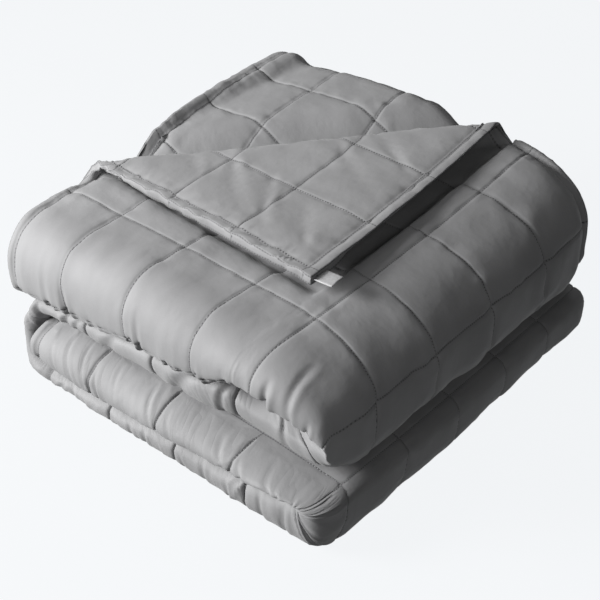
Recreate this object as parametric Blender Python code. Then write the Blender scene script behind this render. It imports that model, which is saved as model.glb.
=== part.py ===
"""A quilted weighted blanket, folded in thirds across and in quarters along, with one corner turned back.

Every point of the blanket is first known by its place on the flat blanket: how many quilted squares along it,
how many squares across it, and which face it is on. fold_strip folds the width in thirds, and stack_strip lays
the long strip that this makes back and forth in four runs. Runs are numbered from the floor up.
"""

import math

import bmesh
import bpy
import numpy as np

# The flat blanket, in quilted squares
SQUARES_ALONG = 20.0
SQUARES_ACROSS = 15.0
HEM_SQUARES = 0.12  # width of the hem, inside the outer squares

# How the strip folds across, in squares from the hem that lies on top
NOSE_FROM = 4.4  # where the upper ply starts round the front fold
NOSE_TO = 5.35  # where the lower ply starts
BACK_FROM = 9.5  # where the lower ply starts round the back fold
BACK_TO = 10.05  # where the middle ply starts
UPPER_HEM_Y = 0.4970  # the upper ply's free hem, at the back
MIDDLE_HEM_CLEARANCE = 0.006  # from the middle ply's free hem to where the front fold starts
ROW_SQUARES = (0.0, 1.0, 2.0, 3.0, 4.0)  # the upper ply's seams, counted from its hem
ROW_Y = (UPPER_HEM_Y, 0.3780, 0.2760, 0.1780, 0.0945)  # and where they lie

# How the strip folds along, in squares from its upper end
TOP_RUN_TO = 3.57
TOP_BEND_MIDDLE = 5.15
THIRD_RUN_FROM = 6.75
THIRD_RUN_TO = 9.55
FLOOR_RUN_FROM = 11.0
FLOOR_RUN_TO = 14.65
SECOND_RUN_FROM = 16.25

# Where the runs start and end
TOP_END_X = -0.006
TOP_END_SLANT = -0.080  # how far the upper end leans left for each metre to the back
UPPER_BEND_X = 0.3550
UPPER_BEND_REACH = 0.1150
LOWER_BEND_X = 0.4300
LOWER_BEND_REACH = 0.0500
LEFT_BEND_X = 0.0500
LEFT_BEND_REACH = 0.0610
LEFT_BEND_HOLLOW = 0.0240  # how far the left bend's inside reaches, round the strip's free end
FREE_END_X = 0.0330
FRONT_REACH_LOSS = 0.004  # how much less the right bends reach at the front
UPPER_BEND_FULLNESS = (2.2, 4.0)  # above and below its middle: 2 bends in an ellipse, more is squarer
SHOULDER_EASE = 1.65  # above 1, the squares spread over the shoulder of the upper bend
LOWER_BEND_FULLNESS = (2.8, 3.6)
LEFT_BEND_FULLNESS = (2.4, 3.4)
MOUTH_REACH = 0.050  # the hollow between the two upper runs, at the near corner
MOUTH_LENGTH = 0.045

# Heights of the faces between the runs, at three places along X and three along Y
ALONG_X = (0.0, 0.19, 0.38)
ALONG_Y = (0.05, 0.25, 0.46)
# columns: front left, front middle, front right, then the same through the middle, then along the back
HEIGHTS = {
    "floor to second": (0.018, 0.034, 0.045, 0.038, 0.044, 0.044, 0.034, 0.040, 0.040),
    "second to third": (0.072, 0.092, 0.086, 0.082, 0.096, 0.078, 0.080, 0.090, 0.074),
    "third to top": (0.114, 0.145, 0.142, 0.138, 0.156, 0.144, 0.150, 0.160, 0.140),
    "top": (0.213, 0.218, 0.210, 0.229, 0.220, 0.218, 0.236, 0.236, 0.238),
}
SWELL = {"third to top": 0.024, "top": 0.050}  # how much higher they are where the turned corner left
SWELL_FROM, SWELL_TO = 0.012, 0.080  # over these distances beyond the crease
RUN_GAP = 0.0020
PLY_GAP_SHARE = 0.040  # the gap between plies, as a share of the strip's height

# The front fold of each run, from the floor up, and the back fold
NOSE_Y = (0.004, 0.003, 0.008, 0.010)
NOSE_DEPTH = (0.030, 0.030, 0.034, 0.056)
NOSE_FULLNESS = (3.4, 2.8, 2.6, 2.2)  # 2 folds in an ellipse, more is squarer
PLY_HEIGHT = (0.0125, 0.0140, 0.0180, 0.0220)
BACK_FOLD_Y = (0.498, 0.496, 0.500, 0.514)

# The quilting
SEAM_FILL = 0.76  # thickness along a seam, as a share of a full square's
HEM_FILL = 0.25

# The corner that is turned back
CREASE_LEFT = (-0.012, 0.108)  # the crease leaves the left hem here
CREASE_BACK = (0.352, 0.497)  # and the back hem here
CREASE_RADIUS = 0.0130
CREASE_PRESS = 0.0105  # the most that the turned corner's faces stand off its middle
CREASE_LINES = 5
CORNER_LIFT = 0.045  # how much the turned corner rises for each metre from the crease
CORNER_EASE = 0.08  # how much longer it lies once its quilting is pressed flat
CORNER_SLIP = 0.057  # how far it slips back along the crease for each metre from it

# The sewn-in tab
TAB_LENGTH = 0.019
TAB_THICKNESS = 0.0012
TAB_FROM, TAB_TO = 0.10, 0.28  # its sides, in squares along the turned hem
TAB_DROP = 0.007
TAB_STEPS = 4
TAB_CLEARANCE = 0.0005

# The footprint's centre, which becomes the origin
CENTRE = (0.2168, 0.2579)

BLANKET_COLOUR = (0.30, 0.30, 0.31, 1.0)
TAB_COLOUR = (0.42, 0.42, 0.43, 1.0)


def clear_scene():
    for thing in list(bpy.data.objects):
        bpy.data.objects.remove(thing, do_unlink=True)


def fabric(name, colour, roughness):
    material = bpy.data.materials.new(name)
    material.use_nodes = True
    shader = material.node_tree.nodes["Principled BSDF"]
    shader.inputs["Base Color"].default_value = colour
    shader.inputs["Roughness"].default_value = roughness
    shader.inputs["Metallic"].default_value = 0.0
    return material


def mix(first, second, share):
    return first + (second - first) * share


def share_of(value, low, high):
    return np.clip((value - low) / (high - low), 0.0, 1.0)


def smooth(share):
    return share * share * (3.0 - 2.0 * share)


def parabola(at, knots, values):
    """The curve of second order through three values."""
    total = 0.0
    for i in range(3):
        others = [knots[k] for k in range(3) if k != i]
        weight = (at - others[0]) * (at - others[1])
        total = total + values[i] * weight / ((knots[i] - others[0]) * (knots[i] - others[1]))
    return total


def crease_frame():
    """Where the crease starts, its direction, and the direction across it to the far left corner."""
    start = np.array(CREASE_LEFT)
    direction = np.array(CREASE_BACK) - start
    direction = direction / np.linalg.norm(direction)
    return start, direction, np.array((-direction[1], direction[0]))


def beyond_crease(x, y):
    start, _, beyond = crease_frame()
    return (x - start[0]) * beyond[0] + (y - start[1]) * beyond[1]


def height(face, x, y):
    """The height of the face between two runs, or of the top."""
    values = HEIGHTS[face]
    rows = [parabola(x, ALONG_X, values[3 * k : 3 * k + 3]) for k in range(3)]
    swollen = smooth(share_of(beyond_crease(x, y), SWELL_FROM, SWELL_TO))
    return parabola(y, ALONG_Y, rows) + SWELL.get(face, 0.0) * swollen


def by_run(along, values):
    """One value for each run, floor to top, blended smoothly through the bends."""
    floor, second, third, top = values
    upper = smooth(share_of(along, TOP_RUN_TO, THIRD_RUN_FROM))
    left = smooth(share_of(along, THIRD_RUN_TO, FLOOR_RUN_FROM))
    lower = smooth(share_of(along, FLOOR_RUN_TO, SECOND_RUN_FROM))
    return mix(mix(mix(top, third, upper), floor, left), second, lower)


def rounded(angle, fullness):
    """Cosine and sine of a half turn, swollen towards a square as fullness grows past 2."""
    power = 2.0 / fullness
    sine = np.sin(angle)
    return np.abs(np.cos(angle)) ** power, np.sign(sine) * np.abs(sine) ** power


PLY_SHARE = (1.0 - 2.0 * PLY_GAP_SHARE) / 3.0


def fold_strip(along, across, face):
    """Folds the width in thirds: gives y, and the share of the strip's height from its lower side.

    face is 1 on the outside of the front fold and -1 on its inside, and less where the cloth is thinner.
    """
    half = 0.5 * PLY_SHARE
    ply = by_run(along, PLY_HEIGHT)
    nose_y = by_run(along, NOSE_Y)
    nose_depth = by_run(along, NOSE_DEPTH)
    nose_start = nose_y + nose_depth
    back_y = by_run(along, BACK_FOLD_Y)
    back_reach = 1.05 * ply
    back_start = back_y - back_reach - 0.5 * ply

    upper_y = np.interp(across, ROW_SQUARES, ROW_Y)
    past_last_row = share_of(across, ROW_SQUARES[-1], NOSE_FROM)
    upper_y = np.where(across > ROW_SQUARES[-1], mix(ROW_Y[-1], nose_start, past_last_row), upper_y)
    upper_share = 1.0 - half + face * half

    turn = math.pi * (0.5 - share_of(across, NOSE_FROM, NOSE_TO))
    forward, upward = rounded(turn, by_run(along, NOSE_FULLNESS))
    nose_round_y = nose_start - (nose_depth + 0.5 * (face - 1.0) * ply) * forward
    nose_share = 0.5 + (0.5 - half + face * half) * upward

    lower_y = mix(nose_start, back_start, share_of(across, NOSE_TO, BACK_FROM))
    lower_share = half - face * half

    turn = math.pi * (share_of(across, BACK_FROM, BACK_TO) - 0.5)
    back_round_y = back_start + (back_reach + 0.5 * face * ply) * np.cos(turn)
    centre, reach = 0.5 * (half + 0.5), 0.5 * (0.5 - half)
    back_share = centre + (reach + face * half) * np.sin(turn)

    middle_hem = nose_start + MIDDLE_HEM_CLEARANCE
    middle_y = mix(back_start, middle_hem, share_of(across, BACK_TO, SQUARES_ACROSS))
    middle_share = 0.5 + face * half

    where = [across <= NOSE_FROM, across <= NOSE_TO, across <= BACK_FROM, across <= BACK_TO]
    y = np.select(where, [upper_y, nose_round_y, lower_y, back_round_y], middle_y)
    share = np.select(where, [upper_share, nose_share, lower_share, back_share], middle_share)
    return y, share


def bend(angle, outwards, pivot_x, reaches, heights, fullness):
    """A point in a bend of the strip. outwards is 0 on its inside and 1 on its outside."""
    inner_reach, outer_reach = reaches
    outer_low, inner_low, inner_high, outer_high = heights
    centre = 0.5 * (inner_low + inner_high)
    rising = angle > 0.0
    sideways, upright = rounded(angle, np.where(rising, *fullness))
    inner_rise = np.where(rising, inner_high - centre, centre - inner_low) * upright
    outer_rise = np.where(rising, outer_high - centre, centre - outer_low) * upright
    x = pivot_x + mix(inner_reach, outer_reach, outwards) * sideways
    return x, centre + mix(inner_rise, outer_rise, outwards)


def stack_strip(along, y, share):
    """Lays the strip back and forth in four runs: gives x and z."""
    slit = 0.5 * RUN_GAP

    def over(face, x):
        return height(face, x, y) + slit

    def under(face, x):
        return height(face, x, y) - slit

    front_loss = FRONT_REACH_LOSS * (1.0 - smooth(share_of(y, 0.0, 0.2)))

    end_x = TOP_END_X + TOP_END_SLANT * y
    x = mix(end_x, UPPER_BEND_X, share_of(along, 0.0, TOP_RUN_TO))
    top_run = x, mix(over("third to top", x), height("top", x, y), share)

    above = share_of(along, TOP_RUN_TO, TOP_BEND_MIDDLE) ** SHOULDER_EASE
    below = share_of(along, TOP_BEND_MIDDLE, THIRD_RUN_FROM)
    x = UPPER_BEND_X
    mouth = MOUTH_REACH * (1.0 - smooth(share_of(y, 0.0, MOUTH_LENGTH)))
    upper_bend = bend(
        0.5 * math.pi * (1.0 - above - below),
        share,
        x,
        (slit + mouth, UPPER_BEND_REACH - front_loss),
        (
            over("second to third", x),
            under("third to top", x),
            over("third to top", x),
            height("top", x, y),
        ),
        UPPER_BEND_FULLNESS,
    )

    x = mix(UPPER_BEND_X, LEFT_BEND_X, share_of(along, THIRD_RUN_FROM, THIRD_RUN_TO))
    third_run = x, mix(under("third to top", x), over("second to third", x), share)

    x = LEFT_BEND_X
    left_bend = bend(
        math.pi * (0.5 - share_of(along, THIRD_RUN_TO, FLOOR_RUN_FROM)),
        1.0 - share,
        x,
        (-LEFT_BEND_HOLLOW, -LEFT_BEND_REACH),
        (
            0.0,
            under("floor to second", x),
            over("second to third", x),
            under("third to top", x),
        ),
        LEFT_BEND_FULLNESS,
    )

    x = mix(LEFT_BEND_X, LOWER_BEND_X, share_of(along, FLOOR_RUN_FROM, FLOOR_RUN_TO))
    floor_run = x, under("floor to second", x) * share

    x = LOWER_BEND_X
    lower_bend = bend(
        math.pi * (share_of(along, FLOOR_RUN_TO, SECOND_RUN_FROM) - 0.5),
        1.0 - share,
        x,
        (slit, LOWER_BEND_REACH - front_loss),
        (
            0.0,
            under("floor to second", x),
            over("floor to second", x),
            under("second to third", x),
        ),
        LOWER_BEND_FULLNESS,
    )

    x = mix(LOWER_BEND_X, FREE_END_X, share_of(along, SECOND_RUN_FROM, SQUARES_ALONG))
    second_run = x, mix(under("second to third", x), over("floor to second", x), share)

    ends = (TOP_RUN_TO, THIRD_RUN_FROM, THIRD_RUN_TO, FLOOR_RUN_FROM, FLOOR_RUN_TO, SECOND_RUN_FROM)
    pieces = (top_run, upper_bend, third_run, left_bend, floor_run, lower_bend)
    where = [along <= end for end in ends]
    x = np.select(where, [piece[0] for piece in pieces], second_run[0])
    z = np.select(where, [piece[1] for piece in pieces], second_run[1])
    return x, z


def upper_ply_middle(x, y):
    """The height of the middle of the upper ply on the top run, continued down the upper bend."""
    low, top = height("third to top", x, y), height("top", x, y)
    return mix(low, top, 1.0 - 0.5 * PLY_SHARE), top - low


def turn_corner(along, across, x, y, z, share):
    """Rolls what lies beyond the crease over it, back onto the top of the blanket."""
    _, along_crease, beyond = crease_frame()
    distance = beyond_crease(x, y)
    turned = (across < NOSE_FROM) & (along < TOP_RUN_TO + 0.3) & (distance > 0.0)
    _, deep = upper_ply_middle(x, y)
    lift = np.clip((share - (1.0 - 0.5 * PLY_SHARE)) * deep, -CREASE_PRESS, CREASE_PRESS)
    half_turn = math.pi * CREASE_RADIUS
    angle = np.clip(distance / CREASE_RADIUS, 0.0, math.pi)
    returned = np.maximum(distance - half_turn, 0.0)
    offset = (CREASE_RADIUS - lift) * np.sin(angle) - returned * (1.0 + CORNER_EASE)
    new_x = x + (offset - distance) * beyond[0] - CORNER_SLIP * returned * along_crease[0]
    new_y = y + (offset - distance) * beyond[1] - CORNER_SLIP * returned * along_crease[1]
    base, _ = upper_ply_middle(new_x, new_y)
    new_z = base + CREASE_RADIUS - (CREASE_RADIUS - lift) * np.cos(angle) + CORNER_LIFT * returned
    return np.where(turned, new_x, x), np.where(turned, new_y, y), np.where(turned, new_z, z)


def near_seam(squares):
    return np.abs(squares - np.round(squares)) < 1e-6


def fill(along, across, face):
    """How thick the quilting is, as a share of a full square's thickness."""
    seam = near_seam(along) | near_seam(across)
    hem = np.minimum(
        np.minimum(along, SQUARES_ALONG - along), np.minimum(across, SQUARES_ACROSS - across)
    )
    on_floor = (along >= FLOOR_RUN_FROM) & (along <= FLOOR_RUN_TO) & (across > NOSE_TO) & (across < BACK_FROM)
    full = np.where(seam, SEAM_FILL, 1.0)
    full = np.where(on_floor & (face > 0.0), 1.0, full)
    return np.where(hem < HEM_SQUARES + 1e-6, HEM_FILL, full)


def blanket_point(along, across, face):
    """From a place on the flat blanket to its place in the folded one, before the origin is moved."""
    face = face * fill(along, across, face)
    y, share = fold_strip(along, across, face)
    x, z = stack_strip(along, y, share)
    return turn_corner(along, across, x, y, z, share)


def stations(sections):
    """Places along one side of the flat blanket: each section's own number of steps for a square."""
    places = [sections[0][0]]
    for start, end, steps in sections:
        first = math.floor(start * steps) + 1
        last = math.ceil(end * steps) - 1
        inside = [k / steps for k in range(first, last + 1)]
        room = 0.4 / steps
        places += [place for place in inside if place - places[-1] > room and end - place > room]
        places.append(end)
    return places


def with_hems(places, length):
    inside = [place for place in places if 1.5 * HEM_SQUARES < place < length - 1.5 * HEM_SQUARES]
    return [0.0, HEM_SQUARES, *inside, length - HEM_SQUARES, length]


def flat_slab():
    """The flat blanket as a closed slab, in squares, with the quilting's points on both faces."""
    along = stations(
        (
            (0.0, TOP_RUN_TO, 3),
            (TOP_RUN_TO, THIRD_RUN_FROM, 4),
            (THIRD_RUN_FROM, THIRD_RUN_TO, 2),
            (THIRD_RUN_TO, FLOOR_RUN_FROM, 6),
            (FLOOR_RUN_FROM, FLOOR_RUN_TO, 2),
            (FLOOR_RUN_TO, SECOND_RUN_FROM, 6),
            (SECOND_RUN_FROM, SQUARES_ALONG, 2),
        )
    )
    across = stations(
        (
            (0.0, NOSE_FROM, 3),
            (NOSE_FROM, NOSE_TO, 5),
            (NOSE_TO, BACK_FROM, 2),
            (BACK_FROM, BACK_TO, 6),
            (BACK_TO, SQUARES_ACROSS, 2),
        )
    )
    along = with_hems(along, SQUARES_ALONG)
    across = with_hems(across, SQUARES_ACROSS)
    slab = bmesh.new()
    grids = [[[slab.verts.new((a, c, f)) for c in across] for a in along] for f in (1.0, -1.0)]
    upper, lower = grids
    for i in range(len(along) - 1):
        for k in range(len(across) - 1):
            square = ((i, k), (i + 1, k), (i + 1, k + 1), (i, k + 1))
            slab.faces.new([upper[a][c] for a, c in square])
            slab.faces.new([lower[a][c] for a, c in reversed(square)])
    last_along, last_across = len(along) - 1, len(across) - 1
    rim = [(i, 0) for i in range(last_along)]
    rim += [(last_along, k) for k in range(last_across)]
    rim += [(i, last_across) for i in range(last_along, 0, -1)]
    rim += [(0, k) for k in range(last_across, 0, -1)]
    for here, there in zip(rim, rim[1:] + rim[:1]):
        corners = (upper[here[0]][here[1]], lower[here[0]][here[1]])
        others = (lower[there[0]][there[1]], upper[there[0]][there[1]])
        slab.faces.new((*corners, *others))
    return slab


def cut_crease_lines(slab):
    """Adds points along the crease, so that the corner rolls over it in short steps."""
    left = np.array((0.0, np.interp(-CREASE_LEFT[1], [-y for y in ROW_Y], ROW_SQUARES)))
    back_along = TOP_RUN_TO * (CREASE_BACK[0] - TOP_END_SLANT * UPPER_HEM_Y)
    back = np.array((back_along / (UPPER_BEND_X - TOP_END_SLANT * UPPER_HEM_Y), 0.0))
    normal = np.array((left[1], back[0]))
    normal = -normal / np.linalg.norm(normal)
    square = (UPPER_BEND_X - TOP_END_X) / TOP_RUN_TO
    roll = math.pi * CREASE_RADIUS / square
    for step in range(CREASE_LINES):
        point = left + normal * roll * step / (CREASE_LINES - 1)
        corner = [
            face
            for face in slab.faces
            if all(v.co.x < TOP_RUN_TO + 0.5 and v.co.y < NOSE_FROM + 0.01 for v in face.verts)
        ]
        edges = list({edge for face in corner for edge in face.edges})
        verts = list({vert for face in corner for vert in face.verts})
        bmesh.ops.bisect_plane(
            slab,
            geom=corner + edges + verts,
            dist=0.012,
            plane_co=(point[0], point[1], 0.0),
            plane_no=(normal[0], normal[1], 0.0),
        )


def finish_object(name, mesh_data, material):
    if mesh_data.calc_volume(signed=True) < 0.0:
        bmesh.ops.reverse_faces(mesh_data, faces=mesh_data.faces[:])
    mesh = bpy.data.meshes.new(name)
    mesh_data.to_mesh(mesh)
    mesh_data.free()
    mesh.shade_smooth()
    mesh.materials.append(material)
    thing = bpy.data.objects.new(name, mesh)
    bpy.context.scene.collection.objects.link(thing)
    return thing


def make_blanket():
    slab = flat_slab()
    cut_crease_lines(slab)
    bmesh.ops.triangulate(slab, faces=slab.faces[:], quad_method="SHORT_EDGE")
    flat = np.array([vert.co for vert in slab.verts])
    x, y, z = blanket_point(flat[:, 0], flat[:, 1], flat[:, 2])
    for vert, place in zip(slab.verts, zip(x - CENTRE[0], y - CENTRE[1], z)):
        vert.co = place
    return finish_object("quilted_blanket", slab, fabric("blanket", BLANKET_COLOUR, 0.75))


def make_tab():
    """A blank folded tape, sewn into the turned corner's hem and curving down past it."""
    squares = np.array((TAB_FROM, TAB_TO))
    zero = np.zeros(2)
    x, y, z = blanket_point(squares, zero, zero)
    sides = np.stack((x, y, z), axis=1) - np.array((*CENTRE, 0.0))
    hem = sides[1] - sides[0]
    outwards = np.cross(hem, (0.0, 0.0, 1.0))
    outwards = outwards / np.linalg.norm(outwards)
    tab = bmesh.new()
    rings = []
    for step in range(TAB_STEPS + 1):
        out = step / TAB_STEPS
        middle = outwards * (TAB_CLEARANCE + TAB_LENGTH * out) - np.array((0.0, 0.0, TAB_DROP * out**2))
        ring = []
        for side, up in ((0, 0.5), (1, 0.5), (1, -0.5), (0, -0.5)):
            ring.append(tab.verts.new(sides[side] + middle + np.array((0.0, 0.0, up * TAB_THICKNESS))))
        rings.append(ring)
    for here, there in zip(rings, rings[1:]):
        for k in range(4):
            tab.faces.new((here[k], here[(k + 1) % 4], there[(k + 1) % 4], there[k]))
    tab.faces.new(rings[0][::-1])
    tab.faces.new(rings[-1])
    return finish_object("sewn_tab", tab, fabric("tab", TAB_COLOUR, 0.70))


def main():
    clear_scene()
    make_blanket()
    make_tab()


main()
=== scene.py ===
"""A quilted weighted blanket, folded in thirds across and in quarters along, with one corner turned back.

Run as a script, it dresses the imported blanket: the quilted cloth with its hem, the stitching, the sewn tab,
and a small studio. A point of the cloth is known by its place on the flat blanket: how many quilted squares
along it, how many squares across it, and which face it is on. fold_strip folds the width in thirds,
stack_strip lays the strip that this makes back and forth in four runs, numbered from the floor up, and
turn_corner rolls the far left corner over a crease. relief gives the seams, puckers and creases.
"""

import math
import bmesh
import bpy
import numpy as np
from bpy.props import FloatProperty, FloatVectorProperty, PointerProperty
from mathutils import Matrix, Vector


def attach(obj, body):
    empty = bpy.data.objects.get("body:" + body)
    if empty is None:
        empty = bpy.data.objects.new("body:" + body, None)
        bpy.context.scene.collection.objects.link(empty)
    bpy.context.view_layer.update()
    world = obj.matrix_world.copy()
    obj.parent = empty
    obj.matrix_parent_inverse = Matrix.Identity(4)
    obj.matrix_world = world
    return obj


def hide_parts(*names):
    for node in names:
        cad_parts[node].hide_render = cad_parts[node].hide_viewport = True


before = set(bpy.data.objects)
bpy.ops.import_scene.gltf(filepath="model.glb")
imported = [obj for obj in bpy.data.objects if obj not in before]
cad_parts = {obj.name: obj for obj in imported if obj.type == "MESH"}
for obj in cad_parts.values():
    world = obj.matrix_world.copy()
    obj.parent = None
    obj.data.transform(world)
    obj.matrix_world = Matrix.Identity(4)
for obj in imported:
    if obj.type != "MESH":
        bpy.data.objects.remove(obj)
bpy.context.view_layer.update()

bl_info = {
    "name": "Folded weighted blanket",
    "version": (1, 0, 0),
    "blender": (4, 5, 0),
    "location": "3D View > Sidebar > Blanket",
    "description": "Makes a folded quilted blanket with its stitching and tab, and a studio for it",
    "category": "Add Mesh",
}

TINY = 1e-9

# The flat blanket, in quilted squares
SQUARE = 0.1016  # metres
SQUARES_ALONG = 20.0
SQUARES_ACROSS = 15.0
HEM_LINE = 0.12  # the hem's stitch line, from the edge

# How the strip folds across, in squares from the hem that lies on top
NOSE_FROM = (4.35, 4.05, 4.05, 4.40)  # where the cloth starts round each run's front fold, from the floor up
NOSE_TO = (5.07, 4.80, 4.80, 5.35)
BACK_FROM = 9.85
BACK_TO = 10.45
UPPER_HEM_Y = 0.4970
ROW_SQUARES = (0.0, 1.0, 2.0, 3.0, 4.0)
ROW_Y = (UPPER_HEM_Y, 0.3780, 0.2760, 0.1780, 0.0945)  # where the top and floor runs' seams lie
MIDDLE_RUNS_ROW_Y = (UPPER_HEM_Y, 0.3850, 0.2720, 0.1620, 0.0600)  # and those of the runs between them
MIDDLE_ROW, MIDDLE_ROW_Y = 12.0, 0.330  # a seam of the middle ply, and where it lies
MIDDLE_HEM_CLEARANCE = 0.006
BACK_REACH = 1.05  # how far the back fold reaches, in heights of a ply

# How the strip folds along, in squares from its upper end
TOP_RUN_TO = 3.57
TOP_BEND_MIDDLE = 5.15
THIRD_RUN_FROM = 6.75
THIRD_RUN_TO = 9.55
FLOOR_RUN_FROM = 11.0
FLOOR_RUN_TO = 14.65
SECOND_RUN_FROM = 16.25

# Where the runs start and end, in metres
TOP_END_X = 0.008
TOP_END_SLANT = -0.080
LOWER_PLIES_END = 0.010  # how much further in the strip's two lower plies end
LOWER_PLIES_FADE = 1.5  # over how many squares past the front fold that comes in
UPPER_BEND_X = 0.3550
UPPER_BEND_REACH = 0.1190
LOWER_BEND_X = 0.4300
LOWER_BEND_REACH = 0.0420
LEFT_BEND_X = 0.0500
LEFT_BEND_REACH = 0.0550
LEFT_BEND_HOLLOW = 0.0290
FREE_END_X = 0.0240
FRONT_REACH_LOSS = 0.004  # how much less the right bends reach at the front, and how far back that goes
FRONT_LOSS_DEPTH = 0.2
UPPER_BEND_FULLNESS = (2.2, 4.0)
SHOULDER_EASE = 1.65
LOWER_BEND_FULLNESS = (2.8, 3.6)
LEFT_BEND_FULLNESS = (2.4, 3.4)

# The mouth between the two upper runs, at the near corner
MOUTH_FROM, MOUTH_TO = 0.300, 0.360
MOUTH_DEPTH = 0.075
MOUTH_REACH = 0.106
MOUTH_RISE = 0.024  # of the upper run's lower side
MOUTH_FALL = 0.022  # of the lower run's upper side
MOUTH_DROOP = 0.010
MOUTH_RIM = (0.012, 0.034)
MOUTH_RECESS = 0.012  # how far back its front is
MOUTH_RECESS_ALONG = (5.7, 6.8, 0.7)  # from and to where in squares, and how softly that fades

# Heights of the faces between the runs, at three places along X and three along Y
ALONG_X = (0.0, 0.19, 0.38)
ALONG_Y = (0.05, 0.25, 0.46)
# columns: front left, front middle, front right, then the same through the middle, then along the back
HEIGHTS = {
    "floor to second": (0.031, 0.038, 0.053, 0.038, 0.044, 0.044, 0.034, 0.040, 0.040),
    "second to third": (0.080, 0.083, 0.076, 0.082, 0.096, 0.078, 0.080, 0.090, 0.074),
    "third to top": (0.112, 0.136, 0.142, 0.138, 0.156, 0.144, 0.150, 0.160, 0.140),
    "top": (0.213, 0.218, 0.210, 0.229, 0.220, 0.218, 0.240, 0.249, 0.236),
}
SWELL = {"third to top": 0.024, "top": 0.058}
SWELL_FROM, SWELL_TO = 0.028, 0.104
RUN_GAP = 0.0020
PLY_GAP_SHARE = 0.040
PLY_SHARE = (1.0 - 2.0 * PLY_GAP_SHARE) / 3.0
STRIP_HEIGHT = (0.040, 0.046, 0.057, 0.078)  # of each run, roughly, from the floor up

# The front fold of each run, from the floor up, and the back fold
NOSE_Y = (-0.001, -0.006, 0.015, -0.004)
NOSE_DEPTH = (0.034, 0.034, 0.036, 0.056)
NOSE_FULLNESS = (2.6, 2.9, 2.0, 2.2)  # on the outer ply's side: 2 bends in an ellipse, more is squarer
NOSE_UNDERSIDE = (2.5, 2.1, 2.2, 3.2)  # on the other side
NOSE_CENTRE = (0.66, 0.55, 0.24, 0.42)  # the height of its foremost line, as a share of the strip's
PLY_HEIGHT = (0.0125, 0.0140, 0.0180, 0.0220)
BACK_FOLD_Y = (0.520, 0.516, 0.508, 0.518)

# The corner that is turned back
CREASE_LEFT = (-0.008, 0.096)
CREASE_BACK = (0.360, 0.497)
CREASE_RADIUS = 0.0118
CREASE_PRESS = 0.0092  # the most that half the cloth's thickness is beyond it
# for each metre that it goes back from the crease: how far it rises, gains length and slips along the crease
CORNER_LIFT = 0.018
CORNER_EASE = 0.03
CORNER_SLIP = 0.085
CORNER_TO = TOP_RUN_TO + 0.3  # how far along, in squares, the cloth can be on the turned corner

CENTRE = (0.2168, 0.2579)  # the footprint's centre, which is the origin

# The hem: distances from the edge, in squares, and the cloth's thickness there as a share of the full one
HEM_PLACES = (0.0, 0.03, 0.075, 0.105, HEM_LINE, 0.135, 0.18, 0.30, 0.50)
HEM_THICKNESS = (0.44, 0.64, 0.66, 0.58, 0.42, 0.54, 0.74, 0.93, 1.0)
HEM_RAISE = 0.55  # how far a hem lies towards the face that shows, as a share of what its thickness lacks
MIDDLE_HEM_RAISE = 0.85  # and the same for the middle ply
CREASE_FADE = 0.02  # metres each side of the crease over which the raised side changes
TUCKED = (TOP_RUN_TO - 0.2, TOP_BEND_MIDDLE - 0.6)  # where along a hem changes side to go round the bend
HEM_STATIONS = (0.0, 0.02, 0.05, 0.085, HEM_LINE, 0.15, 0.20, 0.28)
HEM_GATHER = 0.045  # how far the edge is drawn in, at most, and how many times to a square
HEM_GATHERS = 6.0
HEM_GATHER_REACH = 2.0 * HEM_LINE
HEM_GATHER_ROW, HEM_GATHER_SEED = 0.37, 21
TIGHT_HEM = 0.15  # how loosely a hem lies where it isn't loose
LOOSE_BEYOND = (0.0, 0.03)  # metres beyond the crease
LOOSE_PAST_CORNER = (-0.1, 0.3)  # squares from the blanket's corner, along its end
RIM_GROOVE = 0.028  # how far the groove between the two panels' edges goes in, in squares

# How finely the cloth is divided
BASE_STEPS = 5  # faces to a square
CLOSER_AT_SEAMS = 0.42  # how much closer the faces lie along the seams than in the middle of a square
FINE_CUTS = 2  # each base face near what shows is cut by this many lines each way
FINEST_CUTS = 1  # and then each of those that shows, by this many
CLOSEST_LINES = 0.35 / BASE_STEPS  # a line nearer than this to one of a bend's is left out
EDGE_ROOM = 0.02  # squares, to take in the lines at an edge

# What shows, in squares, or in metres beyond the crease
UPPER_PLY_SHOWS = (THIRD_RUN_FROM + 0.15, NOSE_TO[-1] + 0.12)  # along and across
UPPER_PLY_BEYOND = 0.045
NOSE_ROOM = (0.05, 0.1)  # before and after a front fold
LOWER_BEND_SHOWS = (FLOOR_RUN_TO - 0.2, SECOND_RUN_FROM + 0.2)
MIDDLE_PLY_SHOWS, MIDDLE_PLY_BEYOND = 4.0, -0.04
FLAP_SHOWS, FLAP_BEYOND = TOP_RUN_TO + 0.5, -0.005
NEAR_SEAM = 0.10
VALLEY_SLOPE = (0.1, 0.98)  # as shares of its depth
GATHERED_NOSE_FROM = (0.08, 0.52)  # on the lower runs and on the top one
LEFT_BEND_SEEN = (THIRD_RUN_TO - 0.3, FLOOR_RUN_FROM + 0.3)
MOUTH_SEEN = (3.6, 7.4)
MOUTH_SEEN_ACROSS = (NOSE_TO[2], NOSE_TO[-1] + 0.7)
BACK_FOLD_SEEN = (BACK_FROM - 0.1, BACK_TO + 0.1)
EDGE_SEEN, SIDE_EDGE_SEEN_TO = 0.42, THIRD_RUN_FROM + 0.4

# Where the cloth can stand out, since nothing lies on it: how softly each part of it ends, in squares
OPEN_FADE, MIDDLE_FADE, FLAP_FADE = 0.1, 0.2, 0.3
OPEN_BEND_FROM = 4.0  # across
OPEN_MIDDLE_TO = 4.2  # along
OPEN_TOP_BEYOND, OPEN_MIDDLE_BEYOND = 0.04, -0.05  # metres beyond the crease

# The seams and the front folds, in squares
GROOVE_REACH, DIP_REACH, PUCKER_REACH = 0.012, 0.06, 0.085
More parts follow.
